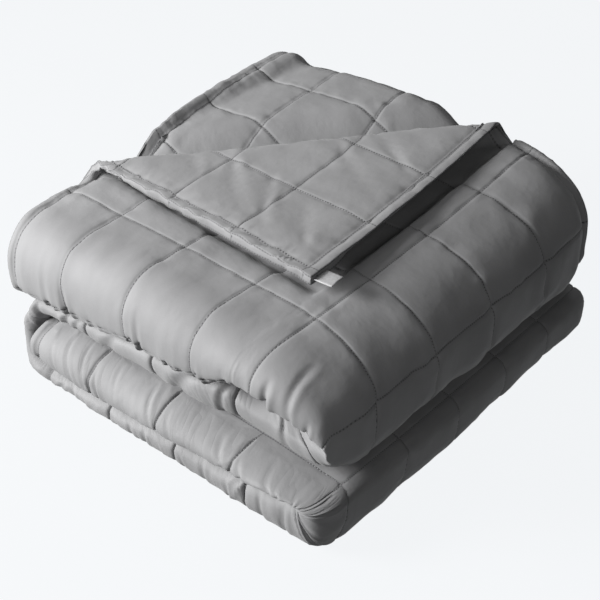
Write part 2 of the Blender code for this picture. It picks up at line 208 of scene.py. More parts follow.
# how much deeper each is round the front folds, or shallower if it is below zero
FRONT_GROOVE, FRONT_DIP, FRONT_PUCKERS, FRONT_CRUMPLE = 2.4, 0.6, 0.8, -0.5
NOSE_FADE = 0.12
LOWER_NOSES = (6.0, 6.8)  # where along the lower runs' front folds begin
INSIDE_HEM = (0.5 * HEM_LINE, 1.2 * HEM_LINE)
PUCKERS = 10.0  # to a square
SEAM_SHIFTS = (7.0, 5.0)  # how far along the random bumps each seam's puckers are from its neighbour's
PUCKER_SEEDS = (5, 6)
MIDDLE_PLY_SWELL = 0.4  # how uneven the middle ply is beside the others

# The wrinkles round the front folds
WRINKLE_STRENGTH = (1.1, 0.8, 0.25, 0.0)  # of each run, from the floor up
WRINKLES_ANYWHERE, WRINKLES_AT_SEAM, WRINKLE_REACH = 0.35, 0.5, 0.2
SIDE_BLEND = 0.15
LIP_ALONG = (0.0, 5.9, 0.3)  # from, to, and how softly it fades
LIP_ACROSS = (4.75, NOSE_TO[-1], 0.4)
LIP_SEAM, LIP_GATHER_REACH = 5.04, 0.20
LIP_GATHER = 0.9  # as a share of the wrinkles' depth
HEM_PUCKERS = (7.5, 2.0)  # to a square, along the hem and across it
HEM_PUCKER_SLANT, HEM_PUCKER_SEED = 1.6, 8
HEM_PUCKER_REACH = 2.2 * HEM_LINE
FLATTENED_FROM = (4.70, 4.95)  # where across the floor run's front fold meets the floor
FLATTENED_FADE, FLATTENED = 0.2, 0.8

# The pleats in the cloth's look
PLEATS_FADE, LOWER_PLEATS, EVEN_PLEATS = 0.1, 0.7, 0.55
LIP_PLEATS_FROM, LIP_PLEATS_TO = (4.85, 5.10), (5.4, 5.6)  # across
LIP_PLEATS_ALONG = 6.4

# Random bumps and folds, one kind to a row. Columns: steps to a square, along and across, in each of the
# bumps' own two directions, then the seed and the weight
BUMPS = {
    "swell": ((2.3, 0.0, 0.0, 2.3, 3, 1.0), (5.1, 0.0, 0.0, 4.7, 4, 0.5)),
    "crumple": ((9.3, 2.0, 0.0, 6.1, 13, 1.0), (-1.0, 11.0, 8.7, 0.0, 14, 0.6)),
    "wrinkle patches": ((1.7, 0.0, 0.0, 2.0, 10, 1.1),),
    "wrinkle side": ((1.3, 0.0, 0.0, 1.9, 12, 1.0),),
    "left wrinkles": ((8.6, -4.4, 1.0, 2.6, 7, 1.0),),
    "right wrinkles": ((7.6, 4.6, -1.0, 2.8, 11, 1.0),),
    "lip gathers": ((6.5, 0.9, 0.0, 1.6, 9, 1.0),),
    "pleat patches": ((2.1, 0.0, 0.0, 1.1, 16, 0.45),),
}

# Creases pressed into the cloth, given one by one. Columns: along and across where it starts, the same where
# it ends, its half width in squares, and its depth in metres
OUTER_CREASES = (
    # on the lip of the top run and of the upper bend
    (1.04, 4.86, 0.99, 5.34, 0.030, 0.0030),
    (1.55, 5.10, 1.58, 5.34, 0.030, 0.0014),
    (2.08, 4.96, 2.11, 5.33, 0.026, 0.0052),
    (2.23, 4.78, 2.21, 5.14, 0.032, 0.0024),
    (2.42, 5.06, 2.45, 5.33, 0.028, 0.0016),
    (2.63, 4.98, 2.71, 5.33, 0.030, 0.0048),
    (2.82, 5.04, 2.85, 5.30, 0.024, 0.0018),
    (3.07, 4.94, 3.12, 5.34, 0.026, 0.0054),
    (3.30, 5.02, 3.33, 5.33, 0.024, 0.0026),
    (3.46, 4.90, 3.50, 5.30, 0.026, 0.0020),
    (4.20, 4.72, 4.18, 5.32, 0.042, 0.0062),
    (4.40, 4.40, 4.48, 4.80, 0.034, 0.0030),
    (4.52, 4.80, 4.50, 5.30, 0.022, 0.0034),
    (4.72, 4.74, 4.72, 5.34, 0.030, 0.0054),
    (4.84, 4.94, 4.85, 5.36, 0.020, 0.0034),
    (4.98, 4.80, 4.99, 5.36, 0.028, 0.0056),
    (5.12, 4.84, 5.13, 5.38, 0.020, 0.0034),
    (5.27, 4.80, 5.29, 5.38, 0.026, 0.0056),
    (5.45, 4.80, 5.47, 5.38, 0.024, 0.0044),
    (5.64, 4.86, 5.66, 5.38, 0.024, 0.0044),
    # on the third run's front fold
    (9.44, 4.10, 9.14, 4.76, 0.034, 0.0030),
    (9.30, 4.06, 9.04, 4.60, 0.026, 0.0020),
    (9.86, 4.20, 9.62, 4.80, 0.045, 0.0034),
    (10.16, 4.30, 10.02, 4.78, 0.035, 0.0040),
    (8.88, 4.04, 8.30, 4.80, 0.060, 0.0028),
    (7.86, 4.08, 7.24, 4.80, 0.060, 0.0034),
    (7.20, 4.10, 7.06, 4.70, 0.030, 0.0022),
    (6.62, 4.20, 6.40, 4.80, 0.034, 0.0024),
    # on the second run's
    (19.66, 4.62, 19.52, 4.30, 0.022, 0.0018),
    (19.46, 4.74, 19.28, 4.36, 0.022, 0.0026),
    (19.34, 4.56, 19.16, 4.16, 0.020, 0.0024),
    (19.22, 4.76, 19.06, 4.40, 0.020, 0.0034),
    (18.94, 4.60, 18.80, 4.20, 0.022, 0.0026),
    (18.72, 4.76, 18.60, 4.50, 0.018, 0.0016),
    (18.22, 4.74, 18.08, 4.44, 0.022, 0.0026),
    (17.92, 4.66, 17.76, 4.34, 0.024, 0.0020),
    (17.60, 4.40, 17.44, 4.10, 0.030, 0.0014),
    (17.26, 4.72, 17.08, 4.40, 0.026, 0.0028),
    (16.94, 4.60, 16.78, 4.20, 0.030, 0.0024),
    (16.66, 4.76, 16.44, 4.26, 0.028, 0.0024),
    (16.46, 4.60, 16.34, 4.20, 0.022, 0.0026),
    (16.28, 4.74, 16.20, 4.36, 0.020, 0.0024),
    # on the floor run's
    (11.16, 4.80, 11.24, 5.16, 0.026, 0.0030),
    (11.42, 4.56, 11.40, 5.00, 0.030, 0.0018),
    (11.62, 4.76, 11.70, 5.22, 0.028, 0.0030),
    (12.14, 4.84, 12.20, 5.28, 0.024, 0.0030),
    (12.36, 4.70, 12.40, 5.26, 0.030, 0.0042),
    (12.58, 4.64, 12.56, 5.24, 0.028, 0.0034),
    (12.80, 4.74, 12.78, 5.20, 0.022, 0.0016),
    (13.12, 4.76, 13.18, 5.26, 0.022, 0.0024),
    (13.42, 4.60, 13.46, 5.22, 0.032, 0.0030),
    (13.78, 4.70, 13.80, 5.26, 0.026, 0.0034),
    (14.20, 4.66, 14.24, 5.26, 0.030, 0.0032),
    (14.52, 4.60, 14.50, 5.20, 0.026, 0.0030),
    (14.84, 4.50, 14.88, 4.94, 0.024, 0.0034),
    (15.12, 4.40, 15.10, 4.84, 0.028, 0.0042),
    (15.40, 4.44, 15.42, 4.90, 0.026, 0.0038),
    (15.66, 4.36, 15.64, 4.80, 0.022, 0.0030),
    (15.92, 4.40, 15.94, 4.84, 0.024, 0.0036),
)
# on the turned corner's upper side, which is the blanket's inner face
FLAP_CREASES = (
    (0.36, 0.90, 1.10, 1.42, 0.050, 0.00216),
    (0.50, 1.40, 1.06, 2.06, 0.060, 0.00243),
    (0.52, 2.06, 0.98, 2.66, 0.050, 0.00216),
    (1.36, 0.30, 1.92, 1.20, 0.060, 0.00243),
    (1.90, 0.26, 2.36, 0.98, 0.050, 0.00216),
    (1.20, 1.30, 1.86, 1.86, 0.050, 0.00189),
    (2.40, 0.30, 2.70, 0.90, 0.045, 0.00189),
    (0.34, 0.36, 0.84, 0.72, 0.045, 0.00189),
)
RIDGE_SHARE = 0.45  # the ridge that stands beside each crease, as a share of its depth
RIDGE_OFFSET = 1.9  # and how far it is from the crease, in half widths
CREASE_OVERRUN = 0.12  # how far a crease runs out past each end, as a share of its length
CREASE_TAPER = 0.8

# The dip in the top at the foot of the turned corner's left hem, in metres
HEM_LIES_FROM, HEM_LIES_TO = (0.000, 0.1570), (0.345, 0.1330)
HEM_VALLEY = 0.0090
HEM_VALLEY_WIDTH = 0.0105
HEM_VALLEY_ENDS = (0.02, 0.98, 0.08)  # as shares of its length, and how softly they fade

NOISE_CELLS = 64

# The stitching
STITCHES_TO_SQUARE = 32
STITCH_SHARE = 0.74  # of each stitch's pitch that the thread covers
THREAD_RADIUS = 0.00042
# a stitch's thickness in thread radii at places along it
STITCH_PROFILE = ((0.0, 0.0), (0.22, 0.9), (0.5, 1.15), (0.78, 0.9), (1.0, 0.0))
STITCH_RISE, STITCH_SINK = 1.1, 0.35  # in thread radii
RING_ANGLES = [math.pi * k / 2.0 for k in range(4)]

# The tab, sewn into the turned corner's hem
TAB_LENGTH = 0.021
TAB_THICKNESS = 0.0012
TAB_FROM, TAB_TO = 0.04, 0.225
TAB_RISE = 0.0008  # how much higher the middle of its fold is
TAB_CLEARANCE = 0.0005
TAB_STEPS, TAB_CROSS_STEPS = 18, 10
TAB_PRESSED, TAB_FULLER = 0.65, 2.0  # its thickness at both ends as a share, and how fast it fills out
TAB_SLANT = 0.03
TAB_RIBS = 14

# The photograph's camera
CAMERA_PLACE = (0.8957, -0.5326, 0.8085)  # before the origin is moved to the footprint's centre
CAMERA_AZIMUTH = 40.6425  # degrees
CAMERA_ELEVATION = 35.4381
CAMERA_LENS, CAMERA_SENSOR = 63.119, 36.0  # millimetres
CAMERA_CLIP = 0.02

# The materials. A noise has its scale and detail, a fade what it starts and ends at, and a bump its strength
# and its depth in metres
# painted shade along the stitched lines: its reach, the needle holes where it is darkest, how much of it is
# there, and its tint
SEAM_SHADE_REACH = (0.004, 0.012)  # squares from the stitches
SHADED_HOLE, HOLE_SHADE_SHARE = (0.25, 0.42), 0.55
SEAM_SHADE_TINT = (0.30, 0.30, 0.31)
TONE_NOISE, TONE_FADE, TONE_TINT = (14.0, 3.0), (0.30, 0.75), (0.86, 0.86, 0.86)
FLECK_NOISE, FLECK_FADE, FLECK_TINT = (2600.0, 1.0), (0.35, 0.70), (1.10, 1.10, 1.10)
WEAVE_BUMP = (0.12, 0.00012)
CRINKLE_NOISE, CRINKLE_BUMP = (160.0, 3.0), (0.22, 0.0011)
RIPPLE_NOISE, RIPPLE_BUMP = (38.0, 2.0), (0.25, 0.0030)
PLEAT_NOISE, PLEAT_BUMP = (9.0, 1.0), (0.35, 0.0040)
PLEAT_SLANT, PLEAT_STRETCH = -0.35, 0.22
CLOTH_ROUGHNESS = (0.66, 0.78)
THREAD_TONES, THREAD_DARK, THREAD_FADE = 900.0, 0.62, (0.3, 0.7)
TWIST_NOISE, TWIST_BUMP = (3200.0, 1.0), (0.4, 0.0001)
TAPE_TONES, TAPE_DARK, RIB_BUMP = 420.0, 0.84, (0.25, 0.0002)
FLOOR_TONES, FLOOR_FADE, FLOOR_GREYS = 3.0, (0.2, 0.8), (0.024, 0.026)

# The studio, in metres: each light's place and size
LIGHTS = {
    "key": ((-1.15, -1.58, 1.06), 0.95),
    "top": ((-0.55, 0.35, 1.95), 1.4),
    "fill": ((1.35, -1.15, 1.1), 1.0),
}
LIGHTS_AIM = (0.0, 0.0, 0.12)
FLOOR_RADIUS, FLOOR_SIDES, FLOOR_DROP = 6.0, 64, 0.0005


# ---- the fold ----


def mix(first, second, share):
    return first + (second - first) * share


def share_of(value, low, high):
    return np.clip((value - low) / (high - low), 0.0, 1.0)


def smooth(share):
    return share * share * (3.0 - 2.0 * share)


def between(value, low, high, fade):
    """1 between low and high, and 0 outside, with soft ends."""
    return smooth(share_of(value, low - fade, low)) * (1.0 - smooth(share_of(value, high, high + fade)))


def within(value, low, high):
    return (value > low) & (value < high)


def parabola(at, knots, values):
    """The curve of second order through three values."""
    total = 0.0
    for i in range(3):
        others = [knots[k] for k in range(3) if k != i]
        weight = (at - others[0]) * (at - others[1])
        total = total + values[i] * weight / ((knots[i] - others[0]) * (knots[i] - others[1]))
    return total


def crease_frame():
    """Where the crease starts, its direction, and the direction across it to the far left corner."""
    start = np.array(CREASE_LEFT)
    direction = np.array(CREASE_BACK) - start
    direction = direction / np.linalg.norm(direction)
    return start, direction, np.array((-direction[1], direction[0]))


def beyond_crease(x, y):
    start, _, beyond = crease_frame()
    return (x - start[0]) * beyond[0] + (y - start[1]) * beyond[1]


def height(face, x, y):
    """The height of the face between two runs, or of the top."""
    values = HEIGHTS[face]
    rows = [parabola(x, ALONG_X, values[3 * k : 3 * k + 3]) for k in range(3)]
    swollen = smooth(share_of(beyond_crease(x, y), SWELL_FROM, SWELL_TO))
    return parabola(y, ALONG_Y, rows) + SWELL.get(face, 0.0) * swollen


def by_run(along, values):
    """One value for each run, floor to top, blended smoothly through the bends."""
    floor, second, third, top = values
    upper = smooth(share_of(along, TOP_RUN_TO, THIRD_RUN_FROM))
    left = smooth(share_of(along, THIRD_RUN_TO, FLOOR_RUN_FROM))
    lower = smooth(share_of(along, FLOOR_RUN_TO, SECOND_RUN_FROM))
    return mix(mix(mix(top, third, upper), floor, left), second, lower)


def rounded(angle, fullness):
    """Cosine and sine of a half turn, swollen towards a square as fullness grows past 2."""
    power = 2.0 / fullness
    sine = np.sin(angle)
    return np.abs(np.cos(angle)) ** power, np.sign(sine) * np.abs(sine) ** power


def fold_strip(along, across, face):
    """Folds the width in thirds: gives y, and the share of the strip's height from its lower side."""
    half = 0.5 * PLY_SHARE
    ply = by_run(along, PLY_HEIGHT)
    nose_from = by_run(along, NOSE_FROM)
    nose_to = by_run(along, NOSE_TO)
    nose_depth = by_run(along, NOSE_DEPTH)
    recess = MOUTH_RECESS * between(along, *MOUTH_RECESS_ALONG)
    nose_start = by_run(along, NOSE_Y) + nose_depth + recess
    back_reach = BACK_REACH * ply
    back_start = by_run(along, BACK_FOLD_Y) - back_reach - 0.5 * ply

    top_y = np.interp(across, ROW_SQUARES, ROW_Y)
    other_y = np.interp(across, ROW_SQUARES, MIDDLE_RUNS_ROW_Y)
    upper_y = by_run(along, (top_y, other_y, other_y, top_y))
    past_last_row = share_of(across, ROW_SQUARES[-1], nose_from)
    upper_y = mix(upper_y, nose_start, past_last_row)
    upper_share = 1.0 - half + face * half

    turn = math.pi * (0.5 - share_of(across, nose_from, nose_to))
    fullness = np.where(turn > 0.0, by_run(along, NOSE_FULLNESS), by_run(along, NOSE_UNDERSIDE))
    forward, upward = rounded(turn, fullness)
    nose_round_y = nose_start - (nose_depth + 0.5 * (face - 1.0) * ply) * forward
    reach = 0.5 - half + face * half
    foremost = 2.0 * reach * (by_run(along, NOSE_CENTRE) - 0.5)
    nose_share = 0.5 + foremost + np.where(upward > 0.0, reach - foremost, reach + foremost) * upward

    lower_y = mix(nose_start, back_start, share_of(across, nose_to, BACK_FROM))
    lower_share = half - face * half

    turn = math.pi * (share_of(across, BACK_FROM, BACK_TO) - 0.5)
    back_round_y = back_start + (back_reach + 0.5 * face * ply) * np.cos(turn)
    centre, reach = 0.5 * (half + 0.5), 0.5 * (0.5 - half)
    back_share = centre + (reach + face * half) * np.sin(turn)

    middle_hem = nose_start + MIDDLE_HEM_CLEARANCE
    far = mix(back_start, MIDDLE_ROW_Y, share_of(across, BACK_TO, MIDDLE_ROW))
    near = mix(MIDDLE_ROW_Y, middle_hem, share_of(across, MIDDLE_ROW, SQUARES_ACROSS))
    middle_y = np.where(across < MIDDLE_ROW, far, near)
    middle_share = 0.5 + face * half

    where = [across <= nose_from, across <= nose_to, across <= BACK_FROM, across <= BACK_TO]
    y = np.select(where, [upper_y, nose_round_y, lower_y, back_round_y], middle_y)
    share = np.select(where, [upper_share, nose_share, lower_share, back_share], middle_share)
    return y, share


def bend(angle, outwards, pivot_x, reaches, heights, fullness):
    """A point in a bend of the strip. outwards is 0 on its inside and 1 on its outside."""
    inner_reach, outer_reach = reaches
    outer_low, inner_low, inner_high, outer_high = heights
    centre = 0.5 * (inner_low + inner_high)
    rising = angle > 0.0
    sideways, upright = rounded(angle, np.where(rising, *fullness))
    inner_rise = np.where(rising, inner_high - centre, centre - inner_low) * upright
    outer_rise = np.where(rising, outer_high - centre, centre - outer_low) * upright
    x = pivot_x + mix(inner_reach, outer_reach, outwards) * sideways
    return x, centre + mix(inner_rise, outer_rise, outwards)


def stack_strip(along, y, share):
    """Lays the strip back and forth in four runs: gives x and z."""
    slit = 0.5 * RUN_GAP

    def over(face, x):
        return height(face, x, y) + slit

    def under(face, x):
        return height(face, x, y) - slit

    front_loss = FRONT_REACH_LOSS * (1.0 - smooth(share_of(y, 0.0, FRONT_LOSS_DEPTH)))
    near = 1.0 - smooth(share_of(y, 0.0, MOUTH_DEPTH))
    behind_rim = near * smooth(share_of(y, *MOUTH_RIM))

    def open_mouth(x, strength):
        return strength * smooth(share_of(x, MOUTH_FROM, MOUTH_TO))

    end_x = TOP_END_X + TOP_END_SLANT * y
    x = mix(end_x, UPPER_BEND_X, share_of(along, 0.0, TOP_RUN_TO))
    low = over("third to top", x) + MOUTH_RISE * open_mouth(x, near)
    top_run = x, mix(low, height("top", x, y), share)

    above = share_of(along, TOP_RUN_TO, TOP_BEND_MIDDLE) ** SHOULDER_EASE
    below = share_of(along, TOP_BEND_MIDDLE, THIRD_RUN_FROM)
    turn = 0.5 * math.pi * (1.0 - above - below)
    x = UPPER_BEND_X
    mouth_floor = under("third to top", x) - MOUTH_FALL * behind_rim
    mouth_roof = over("third to top", x) + MOUTH_RISE * near
    bend_x, bend_z = bend(
        turn,
        share,
        x,
        (slit + MOUTH_REACH * near, UPPER_BEND_REACH - front_loss),
        (over("second to third", x), mouth_floor, mouth_roof, height("top", x, y)),
        UPPER_BEND_FULLNESS,
    )
    upper_bend = bend_x, bend_z - MOUTH_DROOP * near * (1.0 - share) * np.cos(turn)

    x = mix(UPPER_BEND_X, LEFT_BEND_X, share_of(along, THIRD_RUN_FROM, THIRD_RUN_TO))
    high = under("third to top", x) - MOUTH_FALL * open_mouth(x, behind_rim)
    third_run = x, mix(high, over("second to third", x), share)

    x = LEFT_BEND_X
    left_bend = bend(
        math.pi * (0.5 - share_of(along, THIRD_RUN_TO, FLOOR_RUN_FROM)),
        1.0 - share,
        x,
        (-LEFT_BEND_HOLLOW, -LEFT_BEND_REACH),
        (0.0, under("floor to second", x), over("second to third", x), under("third to top", x)),
        LEFT_BEND_FULLNESS,
    )

    x = mix(LEFT_BEND_X, LOWER_BEND_X, share_of(along, FLOOR_RUN_FROM, FLOOR_RUN_TO))
    floor_run = x, under("floor to second", x) * share

    x = LOWER_BEND_X
    lower_bend = bend(
        math.pi * (share_of(along, FLOOR_RUN_TO, SECOND_RUN_FROM) - 0.5),
        1.0 - share,
        x,
        (slit, LOWER_BEND_REACH - front_loss),
        (0.0, under("floor to second", x), over("floor to second", x), under("second to third", x)),
        LOWER_BEND_FULLNESS,
    )

    x = mix(LOWER_BEND_X, FREE_END_X, share_of(along, SECOND_RUN_FROM, SQUARES_ALONG))
    second_run = x, mix(under("second to third", x), over("floor to second", x), share)

    ends = (TOP_RUN_TO, THIRD_RUN_FROM, THIRD_RUN_TO, FLOOR_RUN_FROM, FLOOR_RUN_TO, SECOND_RUN_FROM)
    pieces = (top_run, upper_bend, third_run, left_bend, floor_run, lower_bend)
    where = [along <= end for end in ends]
    x = np.select(where, [piece[0] for piece in pieces], second_run[0])
    z = np.select(where, [piece[1] for piece in pieces], second_run[1])
    return x, z


def lower_plies_inset(along, across):
    """How much further in a place of the top run's two lower plies lies than one of its upper ply."""
    below = smooth(share_of(across, NOSE_TO[-1], NOSE_TO[-1] + LOWER_PLIES_FADE))
    return LOWER_PLIES_END * below * (1.0 - share_of(along, 0.0, TOP_RUN_TO))


def upper_ply_middle(x, y):
    """The height of the middle of the upper ply on the top run, continued down the upper bend."""
    low, top = height("third to top", x, y), height("top", x, y)
    return mix(low, top, 1.0 - 0.5 * PLY_SHARE), top - low


def turned_over(along, across, x, y):
    """Which points are on the corner that is turned back."""
    return (across < NOSE_FROM[-1]) & (along < CORNER_TO) & (beyond_crease(x, y) > 0.0)


def turn_corner(along, across, x, y, z, share):
    """Rolls what lies beyond the crease over it, back onto the top of the blanket."""
    _, along_crease, beyond = crease_frame()
    distance = beyond_crease(x, y)
    turned = turned_over(along, across, x, y)
    _, deep = upper_ply_middle(x, y)
    full = 0.5 * PLY_SHARE * deep
    half = mix(full, np.minimum(full, CREASE_PRESS), smooth(share_of(distance, 0.0, CREASE_RADIUS)))
    lift = (share - (1.0 - 0.5 * PLY_SHARE)) / (0.5 * PLY_SHARE) * half
    half_turn = math.pi * CREASE_RADIUS
    angle = np.clip(distance / CREASE_RADIUS, 0.0, math.pi)
    returned = np.maximum(distance - half_turn, 0.0)
    offset = (CREASE_RADIUS - lift) * np.sin(angle) - returned * (1.0 + CORNER_EASE)
    new_x = x + (offset - distance) * beyond[0] - CORNER_SLIP * returned * along_crease[0]
    new_y = y + (offset - distance) * beyond[1] - CORNER_SLIP * returned * along_crease[1]
    base, _ = upper_ply_middle(new_x, new_y)
    new_z = base + CREASE_RADIUS - (CREASE_RADIUS - lift) * np.cos(angle) + CORNER_LIFT * returned
    return np.where(turned, new_x, x), np.where(turned, new_y, y), np.where(turned, new_z, z)


# ---- the quilting ----


def noise(x, y, seed):
    """Smooth random bumps from -1 to 1, one to each whole step of x and y."""
    table = np.random.default_rng(seed).uniform(-1.0, 1.0, (NOISE_CELLS, NOISE_CELLS))
    column, row = np.floor(x).astype(int), np.floor(y).astype(int)
    right, up = smooth(x - column), smooth(y - row)
    column, row = column % NOISE_CELLS, row % NOISE_CELLS
    next_column, next_row = (column + 1) % NOISE_CELLS, (row + 1) % NOISE_CELLS
    near = mix(table[column, row], table[next_column, row], right)
    far = mix(table[column, next_row], table[next_column, next_row], right)
    return mix(near, far, up)


def folds(x, y, seed):
    """Sharp ridges between rounded troughs, from -1 to 1, one or two to each step of x."""
    return 1.0 - 2.0 * np.sqrt(np.abs(noise(x, y, seed)))


def uneven(along, across, kind, shape=noise):
    """The random bumps of one kind over the cloth."""
    total = 0.0
    for x_along, x_across, y_along, y_across, seed, weight in BUMPS[kind]:
        x = along * x_along + across * x_across
        total = total + weight * shape(x, along * y_along + across * y_across, seed)
    return total


def line_distance(squares, count):
    """Distance to the nearest stitched line: the seams between squares, and the hem's line at each end."""
    lines = np.concatenate(((HEM_LINE,), np.arange(1.0, count), (count - HEM_LINE,)))
    after = np.clip(np.searchsorted(lines, squares), 1, len(lines) - 1)
    return np.minimum(np.abs(squares - lines[after - 1]), np.abs(squares - lines[after]))


def edge_distance(along, across):
    sides = (along, SQUARES_ALONG - along, across, SQUARES_ACROSS - across)
    return np.minimum.reduce(sides)


def crease_depth(along, across, table):
    """The creases of one table, each a soft trough with a ridge on its far side."""
    total = np.zeros_like(along)
    for from_along, from_across, to_along, to_across, width, depth in table:
        run = np.array((to_along - from_along, to_across - from_across))
        length = np.linalg.norm(run)
        run = run / length
        ahead = (along - from_along) * run[0] + (across - from_across) * run[1]
        aside = (along - from_along) * run[1] - (across - from_across) * run[0]
        part = share_of(ahead / length, -CREASE_OVERRUN, 1.0 + CREASE_OVERRUN)
        taper = np.sin(math.pi * part) ** CREASE_TAPER
        trough = np.exp(-((aside / width) ** 2))
        ridge = np.exp(-(((aside - RIDGE_OFFSET * width) / width) ** 2))
        total += depth * taper * (RIDGE_SHARE * ridge - trough)
    return total


def on_floor_face(along, across, face):
    """The lower side of the floor run, which lies flat."""
    on_run = within(along, FLOOR_RUN_FROM - EDGE_ROOM, FLOOR_RUN_TO + EDGE_ROOM)
    return on_run & within(across, NOSE_TO[0] - EDGE_ROOM, BACK_FROM + EDGE_ROOM) & (face > 0.0)


def outward(along, across):
    """Which way a hem lies in its thickness: above 0 towards the outer face, below 0 towards the inner."""
    x, y = flat_place(along, across)
    turned = smooth(share_of(beyond_crease(x, y), -CREASE_FADE, CREASE_FADE)) * (across < NOSE_FROM[-1])
    tucked = smooth(share_of(along, *TUCKED))
    side = np.where(along < THIRD_RUN_FROM, 1.0 - 2.0 * np.maximum(turned, tucked), 0.0)
    return side * np.where(across > BACK_FROM, MIDDLE_HEM_RAISE / HEM_RAISE, 1.0)


def valley(x, y):
    """1 under the turned corner's left hem and behind it, fading to 0 in front of it."""
    start, end = np.array(HEM_LIES_FROM), np.array(HEM_LIES_TO)
    run = (end - start) / np.linalg.norm(end - start)
    ahead = ((x - start[0]) * run[0] + (y - start[1]) * run[1]) / np.linalg.norm(end - start)
    aside = np.maximum((x - start[0]) * run[1] - (y - start[1]) * run[0], 0.0)
    return np.exp(-((aside / HEM_VALLEY_WIDTH) ** 2)) * between(ahead, *HEM_VALLEY_ENDS)


def showing(along, across, face):
    """1 where the cloth's face is in the open, and 0 where it lies against another."""
    x, y = flat_place(along, across)
    beyond = beyond_crease(x, y)
    nose = between(across, by_run(along, NOSE_FROM), by_run(along, NOSE_TO), OPEN_FADE)
    top = between(along, 0.0, THIRD_RUN_FROM, OPEN_FADE) * between(across, 0.0, NOSE_TO[-1], OPEN_FADE)
    lower_bend = between(along, FLOOR_RUN_TO, SECOND_RUN_FROM, OPEN_FADE)
    left_bend = between(along, THIRD_RUN_TO, FLOOR_RUN_FROM, OPEN_FADE)
    bends = np.maximum(lower_bend, left_bend) * between(across, OPEN_BEND_FROM, BACK_TO, OPEN_FADE)
    middle = between(along, 0.0, OPEN_MIDDLE_TO, MIDDLE_FADE) * (across > BACK_FROM)
    middle = middle * (beyond > OPEN_MIDDLE_BEYOND)
    outside = np.maximum.reduce((nose, top * (beyond < OPEN_TOP_BEYOND), bends, middle))
    flap = (across < NOSE_FROM[-1]) * between(along, 0.0, TOP_RUN_TO, FLAP_FADE) * (beyond > FLAP_BEYOND)
    return np.where(face > 0.0, outside, flap)


def relief(along, across, face, sizes):
    """How far the cloth's face stands out from its smooth shape, in metres."""
    outer = face > 0.0
    to_column = line_distance(along, SQUARES_ALONG)
    to_row = line_distance(across, SQUARES_ACROSS)
    from_edge = edge_distance(along, across)
    inside = smooth(share_of(from_edge, *INSIDE_HEM))
    nose = between(across, by_run(along, NOSE_FROM), by_run(along, NOSE_TO), NOSE_FADE) * outer
    lower_nose = nose * smooth(share_of(along, *LOWER_NOSES))
    top_lip = between(along, *LIP_ALONG) * between(across, *LIP_ACROSS) * outer

    # the seams: a narrow groove in a broad dip, deeper where the cloth is bent round the front
    groove = np.exp(-to_column / GROOVE_REACH) * (1.0 + FRONT_GROOVE * lower_nose)
    groove += np.exp(-to_row / GROOVE_REACH)
    dip = np.exp(-to_column / DIP_REACH) * (1.0 + FRONT_DIP * lower_nose) + np.exp(-to_row / DIP_REACH)
    total = -(sizes.seam_depth * groove + sizes.puff_depth * dip) * inside

    # the squares' tops aren't even
    level = mix(1.0, MIDDLE_PLY_SWELL, across > BACK_FROM)
    total = total + sizes.unevenness * uneven(along, across, "swell") * level
    total = total + sizes.crumple * uneven(along, across, "crumple") * (1.0 + FRONT_CRUMPLE * nose)

    # puckers across each seam, which fade away from it
    in_column = noise(np.round(along) * SEAM_SHIFTS[0] + along, across * PUCKERS, PUCKER_SEEDS[0])
    in_row = noise(along * PUCKERS, np.round(across) * SEAM_SHIFTS[1] + across, PUCKER_SEEDS[1])
    puckers = np.exp(-to_column / PUCKER_REACH) * in_column + np.exp(-to_row / PUCKER_REACH) * in_row
    total = total + sizes.pucker_depth * puckers * (1.0 + FRONT_PUCKERS * nose) * inside

    # slanting wrinkles round the front folds, stronger here and weaker there
    patches = WRINKLES_ANYWHERE + uneven(along, across, "wrinkle patches")
    patches = np.clip(patches + WRINKLES_AT_SEAM * np.exp(-to_column / WRINKLE_REACH), 0.0, 1.0)
    strength = by_run(along, WRINKLE_STRENGTH) * nose * patches
    lean_left = uneven(along, across, "left wrinkles", folds)
    lean_right = uneven(along, across, "right wrinkles", folds)
    side = smooth(share_of(uneven(along, across, "wrinkle side"), -SIDE_BLEND, SIDE_BLEND))
    total = total + sizes.wrinkle_depth * strength * mix(lean_left, lean_right, side)

    # the gathers of the seam under the top lip
    gathers = uneven(along, across, "lip gathers", folds)
    below_lip = np.exp(-np.abs(across - LIP_SEAM) / LIP_GATHER_REACH)
    total = total + LIP_GATHER * sizes.wrinkle_depth * top_lip * below_lip * gathers

    # cross puckers in the hem
    hem = 1.0 - smooth(share_of(from_edge, HEM_LINE, HEM_PUCKER_REACH))
    along_edge = np.where(np.minimum(along, SQUARES_ALONG - along) < from_edge + TINY, across, along)
    slanted = along_edge + HEM_PUCKER_SLANT * from_edge
    pucker = folds(HEM_PUCKERS[0] * slanted, HEM_PUCKERS[1] * from_edge, HEM_PUCKER_SEED)
    total = total + sizes.hem_pucker * loose_hem(along, across) * hem * pucker

    # the top sinks towards the hem that lies on it
    total = total - HEM_VALLEY * valley(*flat_place(along, across)) * outer * (along < TOP_RUN_TO)

    outer_creases = crease_depth(along, across, OUTER_CREASES)
    total = total + np.where(outer, outer_creases, crease_depth(along, across, FLAP_CREASES))

    # it doesn't stand out where it lies against itself or on the floor, and little beside the floor
    total = np.minimum(total, 0.0) + np.maximum(total, 0.0) * showing(along, across, face)
    total = np.where(on_floor_face(along, across, face), 0.0, total)
    on_floor_run = between(along, FLOOR_RUN_FROM, FLOOR_RUN_TO, FLATTENED_FADE) * (across < BACK_FROM)
    return total * (1.0 - FLATTENED * smooth(share_of(across, *FLATTENED_FROM)) * on_floor_run)


def loose_hem(along, across):
    """How loosely the hem lies: 1 on the turned corner's end, and little on its side and elsewhere."""
    x, y = flat_place(along, across)
    on_corner = smooth(share_of(beyond_crease(x, y), *LOOSE_BEYOND)) * (across < NOSE_FROM[-1])
    return mix(TIGHT_HEM, 1.0, on_corner * smooth(share_of(across - along, *LOOSE_PAST_CORNER)))


